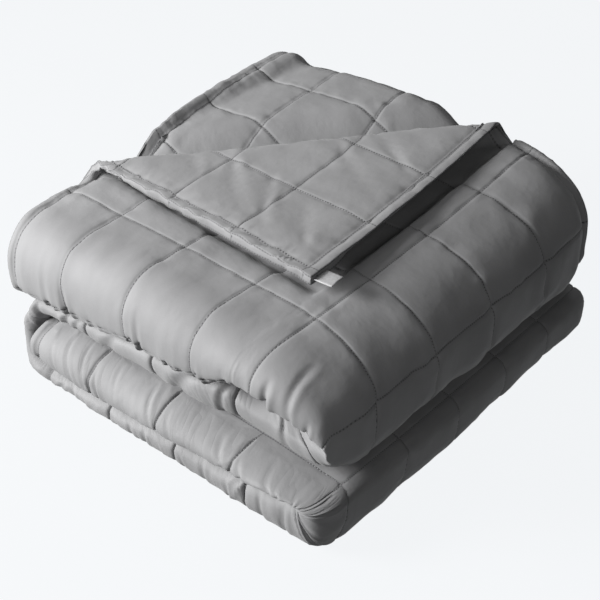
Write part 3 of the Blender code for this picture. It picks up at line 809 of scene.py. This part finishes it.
def gathered_hem(along, across):
    """Draws the edge in a little, here and there, where its stitching is tight."""
    loose = loose_hem(along, across)
    moved = []
    for place, other, count in ((along, across, SQUARES_ALONG), (across, along, SQUARES_ACROSS)):
        drawn = folds(HEM_GATHERS * other, np.full_like(other, HEM_GATHER_ROW), HEM_GATHER_SEED)
        tight = HEM_GATHER * loose * (0.5 - 0.5 * drawn)
        low = tight * np.clip(1.0 - place / HEM_GATHER_REACH, 0.0, 1.0)
        high = tight * np.clip(1.0 - (count - place) / HEM_GATHER_REACH, 0.0, 1.0)
        moved.append(place + low - high)
    return moved


def cloth_point(along, across, face, sizes):
    """From a place on the flat blanket to its place on the folded one. face is 1 outside and -1 inside."""
    full = 0.5 * PLY_SHARE * by_run(along, STRIP_HEIGHT)
    along, across = gathered_hem(along, across)
    thickness = np.interp(edge_distance(along, across), HEM_PLACES, HEM_THICKNESS)
    thickness = np.where(on_floor_face(along, across, face), 1.0, thickness)
    raised = HEM_RAISE * (1.0 - thickness) * outward(along, across)
    offset = face * (thickness + relief(along, across, face, sizes) / full) + raised
    y, share = fold_strip(along, across, offset)
    x, z = stack_strip(along, y, share)
    x = x + lower_plies_inset(along, across)
    x, y, z = turn_corner(along, across, x, y, z, share)
    return np.stack((x - CENTRE[0], y - CENTRE[1], np.maximum(z, 0.0)), axis=-1)


def gathered_share(along, across, face):
    """How strongly the cloth is gathered round the front folds, from 0 to 1."""
    nose = between(across, by_run(along, NOSE_FROM), by_run(along, NOSE_TO), PLEATS_FADE)
    lower = LOWER_PLEATS * nose * smooth(share_of(along, *LOWER_NOSES))
    lip = smooth(share_of(across, *LIP_PLEATS_FROM)) * (1.0 - smooth(share_of(across, *LIP_PLEATS_TO)))
    patches = EVEN_PLEATS + uneven(along, across, "pleat patches")
    return np.maximum(lower, lip * (along < LIP_PLEATS_ALONG)) * patches * (face > 0.0)


def flat_place(along, across):
    """Where a place of the flat blanket lies in the stack before the corner is turned."""
    y, share = fold_strip(along, across, np.zeros_like(along))
    x, _ = stack_strip(along, y, share)
    return x + lower_plies_inset(along, across), y


def shows(along, across, face):
    """Which places of the cloth show, as seen from outside the stack."""
    outer = face > 0.0
    beyond = beyond_crease(*flat_place(along, across))
    upper_ply = (along < UPPER_PLY_SHOWS[0]) & (across < UPPER_PLY_SHOWS[1]) & (beyond < UPPER_PLY_BEYOND)
    nose = within(across, by_run(along, NOSE_FROM) - NOSE_ROOM[0], by_run(along, NOSE_TO) + NOSE_ROOM[1])
    lower_bend = within(along, *LOWER_BEND_SHOWS) & within(across, NOSE_TO[1], BACK_FROM)
    middle_ply = (across > BACK_FROM) & (along < MIDDLE_PLY_SHOWS) & (beyond > MIDDLE_PLY_BEYOND)
    flap = (across < NOSE_FROM[-1]) & (along < FLAP_SHOWS) & (beyond > FLAP_BEYOND)
    return np.where(outer, upper_ply | nose | lower_bend | middle_ply, flap)


def shows_detail(along, across, face):
    """Which places show seams, folds or a dip, and not only the middle of a square."""
    near_seam = np.minimum(line_distance(along, SQUARES_ALONG), line_distance(across, SQUARES_ACROSS))
    nose = within(across, by_run(along, NOSE_FROM), by_run(along, NOSE_TO) + NOSE_ROOM[0])
    sunken = within(valley(*flat_place(along, across)), *VALLEY_SLOPE)
    sunken &= (along < TOP_RUN_TO) & (across < NOSE_FROM[-1])
    return shows(along, across, face) & ((near_seam < NEAR_SEAM) | nose | sunken)


def on_nose(along, across, face):
    """Which places are gathered round a front fold."""
    gathered_from = by_run(along, NOSE_FROM) + mix(*GATHERED_NOSE_FROM, along < TOP_RUN_TO)
    return (face > 0.0) & within(across, gathered_from, by_run(along, NOSE_TO))


def nearly_shows(along, across, face):
    """Which places can be seen into, or from behind."""
    left_bend = within(along, *LEFT_BEND_SEEN) & within(across, NOSE_TO[2], BACK_FROM)
    mouth = within(along, *MOUTH_SEEN) & within(across, *MOUTH_SEEN_ACROSS)
    back_fold = within(across, *BACK_FOLD_SEEN)
    side_edge = (across < EDGE_SEEN) & (along < SIDE_EDGE_SEEN_TO)
    end_edge = (along < EDGE_SEEN) | (along > SQUARES_ALONG - EDGE_SEEN)
    return (face > 0.0) & (left_bend | mouth | back_fold) | side_edge | end_edge


# ---- the cloth's mesh ----


def stations(count, extra):
    """Places along one side of the flat blanket, closer at the hems."""
    inside = [k / BASE_STEPS for k in range(2, int(count * BASE_STEPS) - 1)]
    inside = [place for place in inside if all(abs(place - other) > CLOSEST_LINES for other in extra)]
    ends = [count - place for place in reversed(HEM_STATIONS)]
    return [*HEM_STATIONS, *sorted([*inside, *extra]), *ends]


def flat_slab():
    """The flat blanket as a closed slab, in squares, with a groove all round its rim."""
    bends = (TOP_RUN_TO, THIRD_RUN_FROM, THIRD_RUN_TO, FLOOR_RUN_TO, SECOND_RUN_FROM)
    along = stations(SQUARES_ALONG, bends)
    across = stations(SQUARES_ACROSS, (NOSE_FROM[-1], NOSE_TO[0], NOSE_TO[-1], BACK_FROM, BACK_TO))
    slab = bmesh.new()
    grids = [[[slab.verts.new((a, c, f)) for c in across] for a in along] for f in (1.0, -1.0)]
    upper, lower = grids
    for i in range(len(along) - 1):
        for k in range(len(across) - 1):
            square = ((i, k), (i + 1, k), (i + 1, k + 1), (i, k + 1))
            slab.faces.new([upper[a][c] for a, c in square])
            slab.faces.new([lower[a][c] for a, c in reversed(square)])
    last_along, last_across = len(along) - 1, len(across) - 1
    rim = [(i, 0) for i in range(last_along)]
    rim += [(last_along, k) for k in range(last_across)]
    rim += [(i, last_across) for i in range(last_along, 0, -1)]
    rim += [(0, k) for k in range(last_across, 0, -1)]
    groove = {}
    for i, k in rim:
        inwards = np.clip(along[i], RIM_GROOVE, SQUARES_ALONG - RIM_GROOVE)
        across_in = np.clip(across[k], RIM_GROOVE, SQUARES_ACROSS - RIM_GROOVE)
        groove[(i, k)] = slab.verts.new((inwards, across_in, 0.0))
    for here, there in zip(rim, rim[1:] + rim[:1]):
        for edge in (upper, lower):
            corners = [edge[here[0]][here[1]], groove[here], groove[there], edge[there[0]][there[1]]]
            slab.faces.new(corners if edge is upper else corners[::-1])
    return slab


def refine(slab, wanted, cuts, only_along=False):
    """Cuts the faces whose middle is wanted. In the hem, which has its own lines already, only along it.

    With only_along, every face is cut only into shorter lengths along the blanket.
    """
    slab.faces.ensure_lookup_table()
    middles = np.array([face.calc_center_median() for face in slab.faces])
    chosen = wanted(middles[:, 0], middles[:, 1], np.where(middles[:, 2] >= 0.0, 1.0, -1.0))
    edges = set()
    for k in np.flatnonzero(chosen):
        along, across, _ = middles[k]
        end_hem = min(along, SQUARES_ALONG - along) < HEM_STATIONS[-1]
        side_hem = min(across, SQUARES_ACROSS - across) < HEM_STATIONS[-1]
        for edge in slab.faces[k].edges:
            run = edge.verts[1].co - edge.verts[0].co
            runs_across = abs(run.y) > abs(run.x)
            crosses = side_hem if runs_across else end_hem
            if not crosses and not (only_along and runs_across):
                edges.add(edge)
    bmesh.ops.subdivide_edges(slab, edges=list(edges), cuts=cuts, use_grid_fill=True)


def in_scene(name, data):
    thing = bpy.data.objects.new(name, data)
    bpy.context.scene.collection.objects.link(thing)
    return thing


def finished_mesh(name, mesh_data, material):
    if mesh_data.calc_volume(signed=True) < 0.0:
        bmesh.ops.reverse_faces(mesh_data, faces=mesh_data.faces[:])
    mesh = bpy.data.meshes.new(name)
    mesh_data.to_mesh(mesh)
    mesh_data.free()
    mesh.shade_smooth()
    mesh.materials.append(material)
    return in_scene(name, mesh)


def draw_to_seams(slab):
    """Moves the slab's lines towards the seams, so that the creases there are sharp."""
    for vert in slab.verts:
        for axis, count in ((0, SQUARES_ALONG), (1, SQUARES_ACROSS)):
            place = vert.co[axis]
            if 1.0 < place < count - 1.0:
                vert.co[axis] = place - CLOSER_AT_SEAMS * math.sin(2.0 * math.pi * place) / (2.0 * math.pi)


def make_cloth(sizes, colours):
    slab = flat_slab()
    refine(slab, lambda a, c, f: shows(a, c, f) | nearly_shows(a, c, f), FINE_CUTS)
    refine(slab, shows_detail, FINEST_CUTS)
    hem = HEM_STATIONS[-1]
    refine(slab, lambda a, c, f: shows(a, c, f) & (edge_distance(a, c) < hem), FINEST_CUTS)
    refine(slab, lambda a, c, f: on_nose(a, c, f) & (edge_distance(a, c) > hem), FINEST_CUTS, True)
    draw_to_seams(slab)
    bmesh.ops.triangulate(slab, faces=[face for face in slab.faces if len(face.verts) > 4])
    flat = np.array([vert.co for vert in slab.verts])
    places = cloth_point(*flat.T, sizes)
    cloth_map = slab.loops.layers.uv.new("cloth")
    for face in slab.faces:
        for loop in face.loops:
            loop[cloth_map].uv = loop.vert.co.x * SQUARE, loop.vert.co.y * SQUARE
    inner = slab.verts.layers.float.new("inner_panel")
    gathers = slab.verts.layers.float.new("gathers")
    gathered = gathered_share(*flat.T)
    for vert, place, share in zip(slab.verts, places, gathered):
        vert[inner] = 0.5 - 0.5 * vert.co.z
        vert[gathers] = share
        vert.co = place
    return finished_mesh("quilted_cloth", slab, cloth_material(sizes, colours))


# ---- the stitching ----


def stitch_lines():
    """Each stitched line as two ends on the flat blanket."""
    columns = [HEM_LINE, *range(1, int(SQUARES_ALONG)), SQUARES_ALONG - HEM_LINE]
    rows = [HEM_LINE, *range(1, int(SQUARES_ACROSS)), SQUARES_ACROSS - HEM_LINE]
    lines = [((a, HEM_LINE), (a, SQUARES_ACROSS - HEM_LINE)) for a in columns]
    lines += [((HEM_LINE, c), (SQUARES_ALONG - HEM_LINE, c)) for c in rows]
    return lines


def stitch_places(face):
    """The two ends of each stitch that shows, on one face of the flat blanket."""
    found = []
    for start, end in stitch_lines():
        start, end = np.array(start, float), np.array(end, float)
        count = int(round(np.abs(end - start).max() * STITCHES_TO_SQUARE))
        first = np.arange(count)[:, None] / count
        last = first + STITCH_SHARE / count
        found.append(np.concatenate((mix(start, end, first), mix(start, end, last)), axis=1))
    found = np.concatenate(found)
    sides = np.full(len(found), face)
    return found[shows(found[:, 0], found[:, 1], sides)]


def unit(vectors):
    return vectors / np.maximum(np.linalg.norm(vectors, axis=-1, keepdims=True), TINY)


def stitch_shapes(face, sizes):
    """The corners of each stitch's small spindle, all stitches at once."""
    ends = stitch_places(face)
    sides = np.full(len(ends), face)
    start = cloth_point(ends[:, 0], ends[:, 1], sides, sizes)
    end = cloth_point(ends[:, 2], ends[:, 3], sides, sizes)
    below = cloth_point(ends[:, 0], ends[:, 1], 0.5 * sides, sizes)
    run = unit(end - start)
    up = unit(start - below)
    side = unit(np.cross(run, up))
    up = np.cross(side, run)
    rings = []
    for place, size in STITCH_PROFILE:
        centre = mix(start, end, place) + up * THREAD_RADIUS * (STITCH_RISE * size - STITCH_SINK)
        if size == 0.0:
            rings.append(centre[:, None])
            continue
        spokes = [side * math.cos(angle) + up * math.sin(angle) for angle in RING_ANGLES]
        rings.append(np.stack([centre + THREAD_RADIUS * size * spoke for spoke in spokes], axis=1))
    return np.concatenate(rings, axis=1)


def spindle_faces():
    """The faces of one spindle: a point, three rings of four, and a point."""
    faces = [(0, 1 + (k + 1) % 4, 1 + k) for k in range(4)]
    for ring in (1, 5):
        for k in range(4):
            turn = (k + 1) % 4
            faces.append((ring + k, ring + turn, ring + 4 + turn))
            faces.append((ring + k, ring + 4 + turn, ring + 4 + k))
    faces += [(13, 9 + k, 9 + (k + 1) % 4) for k in range(4)]
    return np.array(faces)


def make_stitches(sizes, colours):
    corners = np.concatenate([stitch_shapes(face, sizes) for face in (1.0, -1.0)])
    count, each = corners.shape[:2]
    faces = spindle_faces()[None] + each * np.arange(count)[:, None, None]
    mesh = bpy.data.meshes.new("seam_stitches")
    mesh.from_pydata(corners.reshape(-1, 3).tolist(), [], faces.reshape(-1, 3).tolist())
    mesh.shade_smooth()
    mesh.materials.append(thread_material(colours))
    return in_scene("seam_stitches", mesh)


# ---- the tab ----


def tape_profile():
    """How far out each line of the folded tape is, and how high, from its root to the fold and back."""
    outs = [step / TAB_STEPS for step in range(TAB_STEPS + 1)]
    half = 0.5 * TAB_THICKNESS
    upper = [(out, half * min(1.0, TAB_PRESSED + TAB_FULLER * out * (1.0 - out))) for out in outs]
    return upper + [(out, -high) for out, high in reversed(upper)]


def make_tab_mesh(sizes, colours):
    """A blank tape folded double, its two ends sewn into the hem, with the fold hanging free."""
    zero = np.zeros(2)
    first, last = cloth_point(np.array((TAB_FROM, TAB_TO)), zero, zero, sizes)
    hem = last - first
    outwards = unit(np.cross(hem, (0.0, 0.0, 1.0)))
    tab = bmesh.new()
    tape_map = tab.loops.layers.uv.new("tape")
    rings = []
    for share in np.linspace(0.0, 1.0, TAB_CROSS_STEPS + 1):
        root = mix(first, last, share)
        rise = TAB_RISE * math.sin(math.pi * share)
        ring = []
        for out, high in tape_profile():
            place = root + outwards * (TAB_CLEARANCE + TAB_LENGTH * out * (1.0 - TAB_SLANT * share))
            ring.append(tab.verts.new(place + np.array((0.0, 0.0, high + rise * out))))
        rings.append(ring)
    count = len(rings[0])
    for near, far in zip(rings, rings[1:]):
        for k in range(count):
            tab.faces.new((near[k], near[(k + 1) % count], far[(k + 1) % count], far[k]))
    tab.faces.new(rings[0][::-1])
    tab.faces.new(rings[-1])
    for face in tab.faces:
        for loop in face.loops:
            offset = np.array(loop.vert.co) - first
            loop[tape_map].uv = float(offset @ unit(hem)), float(offset @ outwards)
    return finished_mesh("folded_tab", tab, tape_material(colours))


# ---- the materials ----


class Nodes:
    """Short ways to add and join a material's nodes."""

    def __init__(self, name):
        self.material = bpy.data.materials.new(name)
        self.material.use_nodes = True
        self.tree = self.material.node_tree
        self.shader = self.tree.nodes["Principled BSDF"]

    def add(self, kind, **settings):
        node = self.tree.nodes.new(kind)
        for name, value in settings.items():
            setattr(node, name, value)
        return node

    def feed(self, socket, value):
        if isinstance(value, bpy.types.NodeSocket):
            self.tree.links.new(value, socket)
        else:
            socket.default_value = value

    def math(self, operation, first, second=0.0):
        node = self.add("ShaderNodeMath", operation=operation)
        self.feed(node.inputs[0], first)
        self.feed(node.inputs[1], second)
        return node.outputs[0]

    def times(self, first, second):
        return self.math("MULTIPLY", first, second)

    def away(self, value, middle):
        """How far a value is from the middle one."""
        return self.math("ABSOLUTE", self.math("SUBTRACT", value, middle))

    def wave(self, value, pitch):
        return self.math("SINE", self.times(value, 2.0 * math.pi / pitch))

    def parts(self, vector):
        node = self.add("ShaderNodeSeparateXYZ")
        self.feed(node.inputs[0], vector)
        return node.outputs[0], node.outputs[1]

    def joined(self, first, second):
        node = self.add("ShaderNodeCombineXYZ")
        self.feed(node.inputs[0], first)
        self.feed(node.inputs[1], second)
        return node.outputs[0]

    def fade(self, value, low, high):
        """0 at low and 1 at high, with soft ends."""
        node = self.add("ShaderNodeMapRange", interpolation_type="SMOOTHSTEP")
        self.feed(node.inputs["Value"], value)
        node.inputs["From Min"].default_value = low
        node.inputs["From Max"].default_value = high
        return node.outputs["Result"]

    def attribute(self, name):
        return self.add("ShaderNodeAttribute", attribute_name=name).outputs["Fac"]

    def blend(self, share, first, second):
        node = self.add("ShaderNodeMix", data_type="RGBA")
        self.feed(node.inputs["Factor"], share)
        self.feed(node.inputs[6], first)
        self.feed(node.inputs[7], second)
        return node.outputs[2]

    def tinted(self, colour, tint):
        made = self.blend(1.0, colour, (*tint, 1.0))
        made.node.blend_type = "MULTIPLY"
        return made

    def noise(self, vector, scale, detail=2.0):
        node = self.add("ShaderNodeTexNoise")
        self.feed(node.inputs["Vector"], vector)
        node.inputs["Scale"].default_value = scale
        node.inputs["Detail"].default_value = detail
        return node.outputs["Fac"]

    def bump(self, height_value, strength, distance, normal=None):
        node = self.add("ShaderNodeBump")
        node.inputs["Strength"].default_value = strength
        node.inputs["Distance"].default_value = distance
        self.feed(node.inputs["Height"], height_value)
        if normal is not None:
            self.feed(node.inputs["Normal"], normal)
        return node.outputs["Normal"]

    def set(self, **values):
        for name, value in values.items():
            self.feed(self.shader.inputs[name.replace("_", " ")], value)


def seam_shade_line(nodes, place, other, count):
    """The mask of the painted seam shade: 1 on the stitched lines that cross place, strongest at the needle's
    holes along other.
    """
    to_line = nodes.away(nodes.math("FRACT", nodes.math("ADD", place, 0.5)), 0.5)
    for hem in (HEM_LINE, count - HEM_LINE):
        to_line = nodes.math("MINIMUM", to_line, nodes.away(place, hem))
    on_line = nodes.math("SUBTRACT", 1.0, nodes.fade(to_line, *SEAM_SHADE_REACH))
    stitch = nodes.math("FRACT", nodes.times(other, STITCHES_TO_SQUARE))
    hole = nodes.fade(nodes.away(stitch, 0.5 * STITCH_SHARE), *SHADED_HOLE)
    return nodes.times(on_line, nodes.math("ADD", 1.0 - HOLE_SHADE_SHARE, nodes.times(hole, HOLE_SHADE_SHARE)))


def cloth_material(sizes, colours):
    nodes = Nodes("cotton cloth")
    cloth = nodes.add("ShaderNodeUVMap", uv_map="cloth").outputs[0]
    metres_along, metres_across = nodes.parts(cloth)
    along = nodes.math("DIVIDE", metres_along, SQUARE)
    across = nodes.math("DIVIDE", metres_across, SQUARE)

    # the two panels, the inner one lighter by painted light, the slow change of tone over the cloth, and its
    # fine flecks
    colour = nodes.blend(nodes.attribute("inner_panel"), (*colours.cloth, 1.0), (*colours.inner_panel, 1.0))
    tone = nodes.fade(nodes.noise(cloth, *TONE_NOISE), *TONE_FADE)
    colour = nodes.blend(tone, nodes.tinted(colour, TONE_TINT), colour)
    fleck = nodes.fade(nodes.noise(cloth, *FLECK_NOISE), *FLECK_FADE)
    colour = nodes.blend(fleck, colour, nodes.tinted(colour, FLECK_TINT))

    # painted shade: the cloth is darkened along the stitched lines, most at the needle's holes, for the shade
    # in the seams' grooves
    columns = seam_shade_line(nodes, along, across, SQUARES_ALONG)
    rows = seam_shade_line(nodes, across, along, SQUARES_ACROSS)
    line = nodes.math("MAXIMUM", columns, rows)
    colour = nodes.blend(line, colour, nodes.tinted(colour, SEAM_SHADE_TINT))

    # plain weave, the small crinkles of washed cotton, and pleats where it is gathered
    warp = nodes.wave(metres_along, sizes.thread_pitch)
    weft = nodes.wave(metres_across, sizes.thread_pitch)
    normal = nodes.bump(nodes.times(warp, weft), *WEAVE_BUMP)
    crinkle = nodes.noise(cloth, *CRINKLE_NOISE)
    normal = nodes.bump(crinkle, *CRINKLE_BUMP, normal)
    normal = nodes.bump(nodes.noise(cloth, *RIPPLE_NOISE), *RIPPLE_BUMP, normal)
    slanted = nodes.math("ADD", along, nodes.times(across, PLEAT_SLANT))
    stretched = nodes.joined(slanted, nodes.times(across, PLEAT_STRETCH))
    pleats = nodes.math("SQRT", nodes.away(nodes.noise(stretched, *PLEAT_NOISE), 0.5))
    pleats = nodes.times(pleats, nodes.attribute("gathers"))
    normal = nodes.bump(pleats, *PLEAT_BUMP, normal)

    roughness = nodes.add("ShaderNodeMapRange")
    nodes.feed(roughness.inputs["Value"], crinkle)
    roughness.inputs["To Min"].default_value, roughness.inputs["To Max"].default_value = CLOTH_ROUGHNESS
    nodes.set(Base_Color=colour, Roughness=roughness.outputs["Result"], Normal=normal)
    nodes.set(Metallic=0.0, Sheen_Weight=0.10, Sheen_Roughness=0.5, Specular_IOR_Level=0.30)
    return nodes.material


def two_tones(nodes, place, scale, colour, darker):
    """A colour that changes between itself and a darker tone."""
    tone = nodes.fade(nodes.noise(place, scale), *THREAD_FADE)
    dark = tuple(darker * part for part in colour)
    nodes.set(Base_Color=nodes.blend(tone, (*dark, 1.0), (*colour, 1.0)))


def thread_material(colours):
    nodes = Nodes("sewing thread")
    place = nodes.add("ShaderNodeTexCoord").outputs["Object"]
    two_tones(nodes, place, THREAD_TONES, colours.thread, THREAD_DARK)
    nodes.set(Normal=nodes.bump(nodes.noise(place, *TWIST_NOISE), *TWIST_BUMP))
    nodes.set(Roughness=0.55, Sheen_Weight=0.2)
    return nodes.material


def tape_material(colours):
    nodes = Nodes("woven tape")
    tape = nodes.add("ShaderNodeUVMap", uv_map="tape").outputs[0]
    _, outwards = nodes.parts(tape)
    two_tones(nodes, tape, TAPE_TONES, colours.tab, TAPE_DARK)
    nodes.set(Normal=nodes.bump(nodes.wave(outwards, TAB_LENGTH / TAB_RIBS), *RIB_BUMP))
    nodes.set(Roughness=0.5, Sheen_Weight=0.15)
    return nodes.material


def floor_material(colours):
    nodes = Nodes("studio floor")
    place = nodes.add("ShaderNodeTexCoord").outputs["Object"]
    tone = nodes.fade(nodes.noise(place, FLOOR_TONES), *FLOOR_FADE)
    nodes.set(Base_Color=nodes.blend(tone, *((grey, grey, grey, 1.0) for grey in FLOOR_GREYS)))
    nodes.set(Roughness=0.9, Specular_IOR_Level=0.0)
    nodes.set(Emission_Color=(*colours.floor, 1.0), Emission_Strength=1.0)
    return nodes.material


# ---- the studio ----


def area_light(name, place, size, power):
    light = bpy.data.lights.new(name, "AREA")
    light.shape = "DISK"
    light.size = size
    light.energy = power
    lamp = in_scene(name, light)
    lamp.location = place
    lamp.rotation_mode = "QUATERNION"
    lamp.rotation_quaternion = (Vector(LIGHTS_AIM) - Vector(place)).to_track_quat("-Z", "Y")


def make_floor(colours):
    floor = bmesh.new()
    bmesh.ops.create_circle(floor, cap_ends=True, radius=FLOOR_RADIUS, segments=FLOOR_SIDES)
    made = finished_mesh("studio_floor", floor, floor_material(colours))
    made.location = (0.0, 0.0, -FLOOR_DROP)
    made.visible_diffuse = False


def make_camera():
    data = bpy.data.cameras.new("photo camera")
    data.sensor_width = CAMERA_SENSOR
    data.lens = CAMERA_LENS
    data.clip_start = CAMERA_CLIP
    camera = in_scene("photo camera", data)
    camera.location = (CAMERA_PLACE[0] - CENTRE[0], CAMERA_PLACE[1] - CENTRE[1], CAMERA_PLACE[2])
    camera.rotation_euler = (math.radians(90.0 - CAMERA_ELEVATION), 0.0, math.radians(CAMERA_AZIMUTH))
    bpy.context.scene.camera = camera


def make_studio(studio, colours):
    make_floor(colours)
    for name, (place, size) in LIGHTS.items():
        area_light(f"{name} light", place, size, getattr(studio, f"{name}_power"))
    world = bpy.data.worlds.new("studio air")
    world.use_nodes = True
    air = world.node_tree.nodes["Background"]
    air.inputs["Color"].default_value = (*colours.air, 1.0)
    air.inputs["Strength"].default_value = studio.air_strength
    bpy.context.scene.world = world
    bpy.context.scene.view_settings.view_transform = "Standard"
    make_camera()


# ---- the add-on ----


def amount(name, description, default, least=0.0, unit="LENGTH"):
    return FloatProperty(name=name, description=description, default=default, min=least, unit=unit)


def a_power(name, description, default):
    return amount(name, description, default, unit="POWER")


def a_colour(name, description, default):
    return FloatVectorProperty(
        name=name, description=description, default=default, min=0.0, max=1.0, subtype="COLOR"
    )


class BlanketSizes(bpy.types.PropertyGroup):
    """How deeply the cloth is quilted and creased."""

    seam_depth: amount("Seam groove", "Depth of the narrow groove that the stitches pull in", 0.0011)
    puff_depth: amount("Puff", "How much higher a filled square stands than the dip beside its seams", 0.0008)
    unevenness: amount("Unevenness", "How uneven the filling makes the squares", 0.0012)
    crumple: amount("Crumple", "Depth of the soft crumples all over the cloth", 0.0005)
    pucker_depth: amount("Seam puckers", "Depth of the small puckers across each seam", 0.0007)
    wrinkle_depth: amount("Fold wrinkles", "Depth of the upright wrinkles round the front folds", 0.0015)
    hem_pucker: amount("Hem puckers", "Depth of the cross puckers in the hem", 0.0034)
    thread_pitch: amount("Weave", "Width of one thread and its gap in the cloth's weave", 0.0006, 0.0001)


class BlanketColours(bpy.types.PropertyGroup):
    """The colours of the cloth, thread, tab and studio."""

    cloth: a_colour("Cloth", "The outer panel", (0.215, 0.215, 0.218))
    # painted light: the inner panel is a little lighter than the outer, for the brighter light on the turned
    # corner
    inner_panel: a_colour(
        "Inner panel", "The other panel, which shows on the turned corner", (0.225, 0.225, 0.228)
    )
    thread: a_colour("Thread", "The sewing thread", (0.230, 0.230, 0.234))
    tab: a_colour("Tab", "The woven tape of the tab", (0.36, 0.36, 0.365))
    floor: a_colour("Floor", "The studio floor", (0.880, 0.897, 0.914))
    air: a_colour("Air", "The studio's even light and background", (0.95, 0.96, 0.97))


class BlanketStudio(bpy.types.PropertyGroup):
    """The studio's lights."""

    key_power: a_power("Key light", "Power of the light at the front left", 112.0)
    top_power: a_power("Top light", "Power of the soft light above", 8.0)
    fill_power: a_power("Fill light", "Power of the weak light at the right", 6.0)
    air_strength: FloatProperty(
        name="Air",
        description="Strength of the even light from all round",
        default=0.02,
        min=0.0,
    )


class BLANKET_OT_sew_cloth(bpy.types.Operator):
    """Make the folded quilted cloth with its hem"""

    bl_idname = "blanket.sew_cloth"
    bl_label = "Quilted cloth"

    def execute(self, context):
        scene = context.scene
        cloth = make_cloth(scene.blanket_sizes, scene.blanket_colours)
        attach(cloth, "root")
        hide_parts("quilted_blanket")
        return {"FINISHED"}


class BLANKET_OT_sew_stitches(bpy.types.Operator):
    """Make the stitches that show, along the seams and the hem"""

    bl_idname = "blanket.sew_stitches"
    bl_label = "Stitching"

    def execute(self, context):
        scene = context.scene
        stitches = make_stitches(scene.blanket_sizes, scene.blanket_colours)
        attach(stitches, "root")
        return {"FINISHED"}


class BLANKET_OT_sew_tab(bpy.types.Operator):
    """Make the blank folded tape that is sewn into the turned corner"""

    bl_idname = "blanket.sew_tab"
    bl_label = "Tab"

    def execute(self, context):
        scene = context.scene
        tab = make_tab_mesh(scene.blanket_sizes, scene.blanket_colours)
        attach(tab, "root")
        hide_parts("sewn_tab")
        return {"FINISHED"}


class BLANKET_OT_set_studio(bpy.types.Operator):
    """Set up the pale floor, the soft lights and the photograph's camera"""

    bl_idname = "blanket.set_studio"
    bl_label = "Studio"

    def execute(self, context):
        make_studio(context.scene.blanket_studio, context.scene.blanket_colours)
        return {"FINISHED"}


OPERATORS = (BLANKET_OT_sew_cloth, BLANKET_OT_sew_stitches, BLANKET_OT_sew_tab, BLANKET_OT_set_studio)


class BLANKET_PT_sidebar(bpy.types.Panel):
    """Lists the blanket's pieces with their sizes and colours"""

    bl_idname = "BLANKET_PT_sidebar"
    bl_label = "Folded blanket"
    bl_space_type = "VIEW_3D"
    bl_region_type = "UI"
    bl_category = "Blanket"

    def draw(self, context):
        layout = self.layout
        scene = context.scene
        for settings in (scene.blanket_sizes, scene.blanket_colours, scene.blanket_studio):
            column = layout.column()
            for name in settings.bl_rna.properties.keys():
                if name not in {"rna_type", "name"}:
                    column.prop(settings, name)
        for operator in OPERATORS:
            layout.operator(operator.bl_idname)


CLASSES = (BlanketSizes, BlanketColours, BlanketStudio, *OPERATORS, BLANKET_PT_sidebar)


def register():
    for made in CLASSES:
        bpy.utils.register_class(made)
    bpy.types.Scene.blanket_sizes = PointerProperty(type=BlanketSizes)
    bpy.types.Scene.blanket_colours = PointerProperty(type=BlanketColours)
    bpy.types.Scene.blanket_studio = PointerProperty(type=BlanketStudio)


def unregister():
    del bpy.types.Scene.blanket_studio
    del bpy.types.Scene.blanket_colours
    del bpy.types.Scene.blanket_sizes
    for made in reversed(CLASSES):
        bpy.utils.unregister_class(made)


def main():
    register()
    bpy.ops.blanket.sew_cloth()
    bpy.ops.blanket.sew_stitches()
    bpy.ops.blanket.sew_tab()
    bpy.ops.blanket.set_studio()


if __name__ == "__main__":
    main()
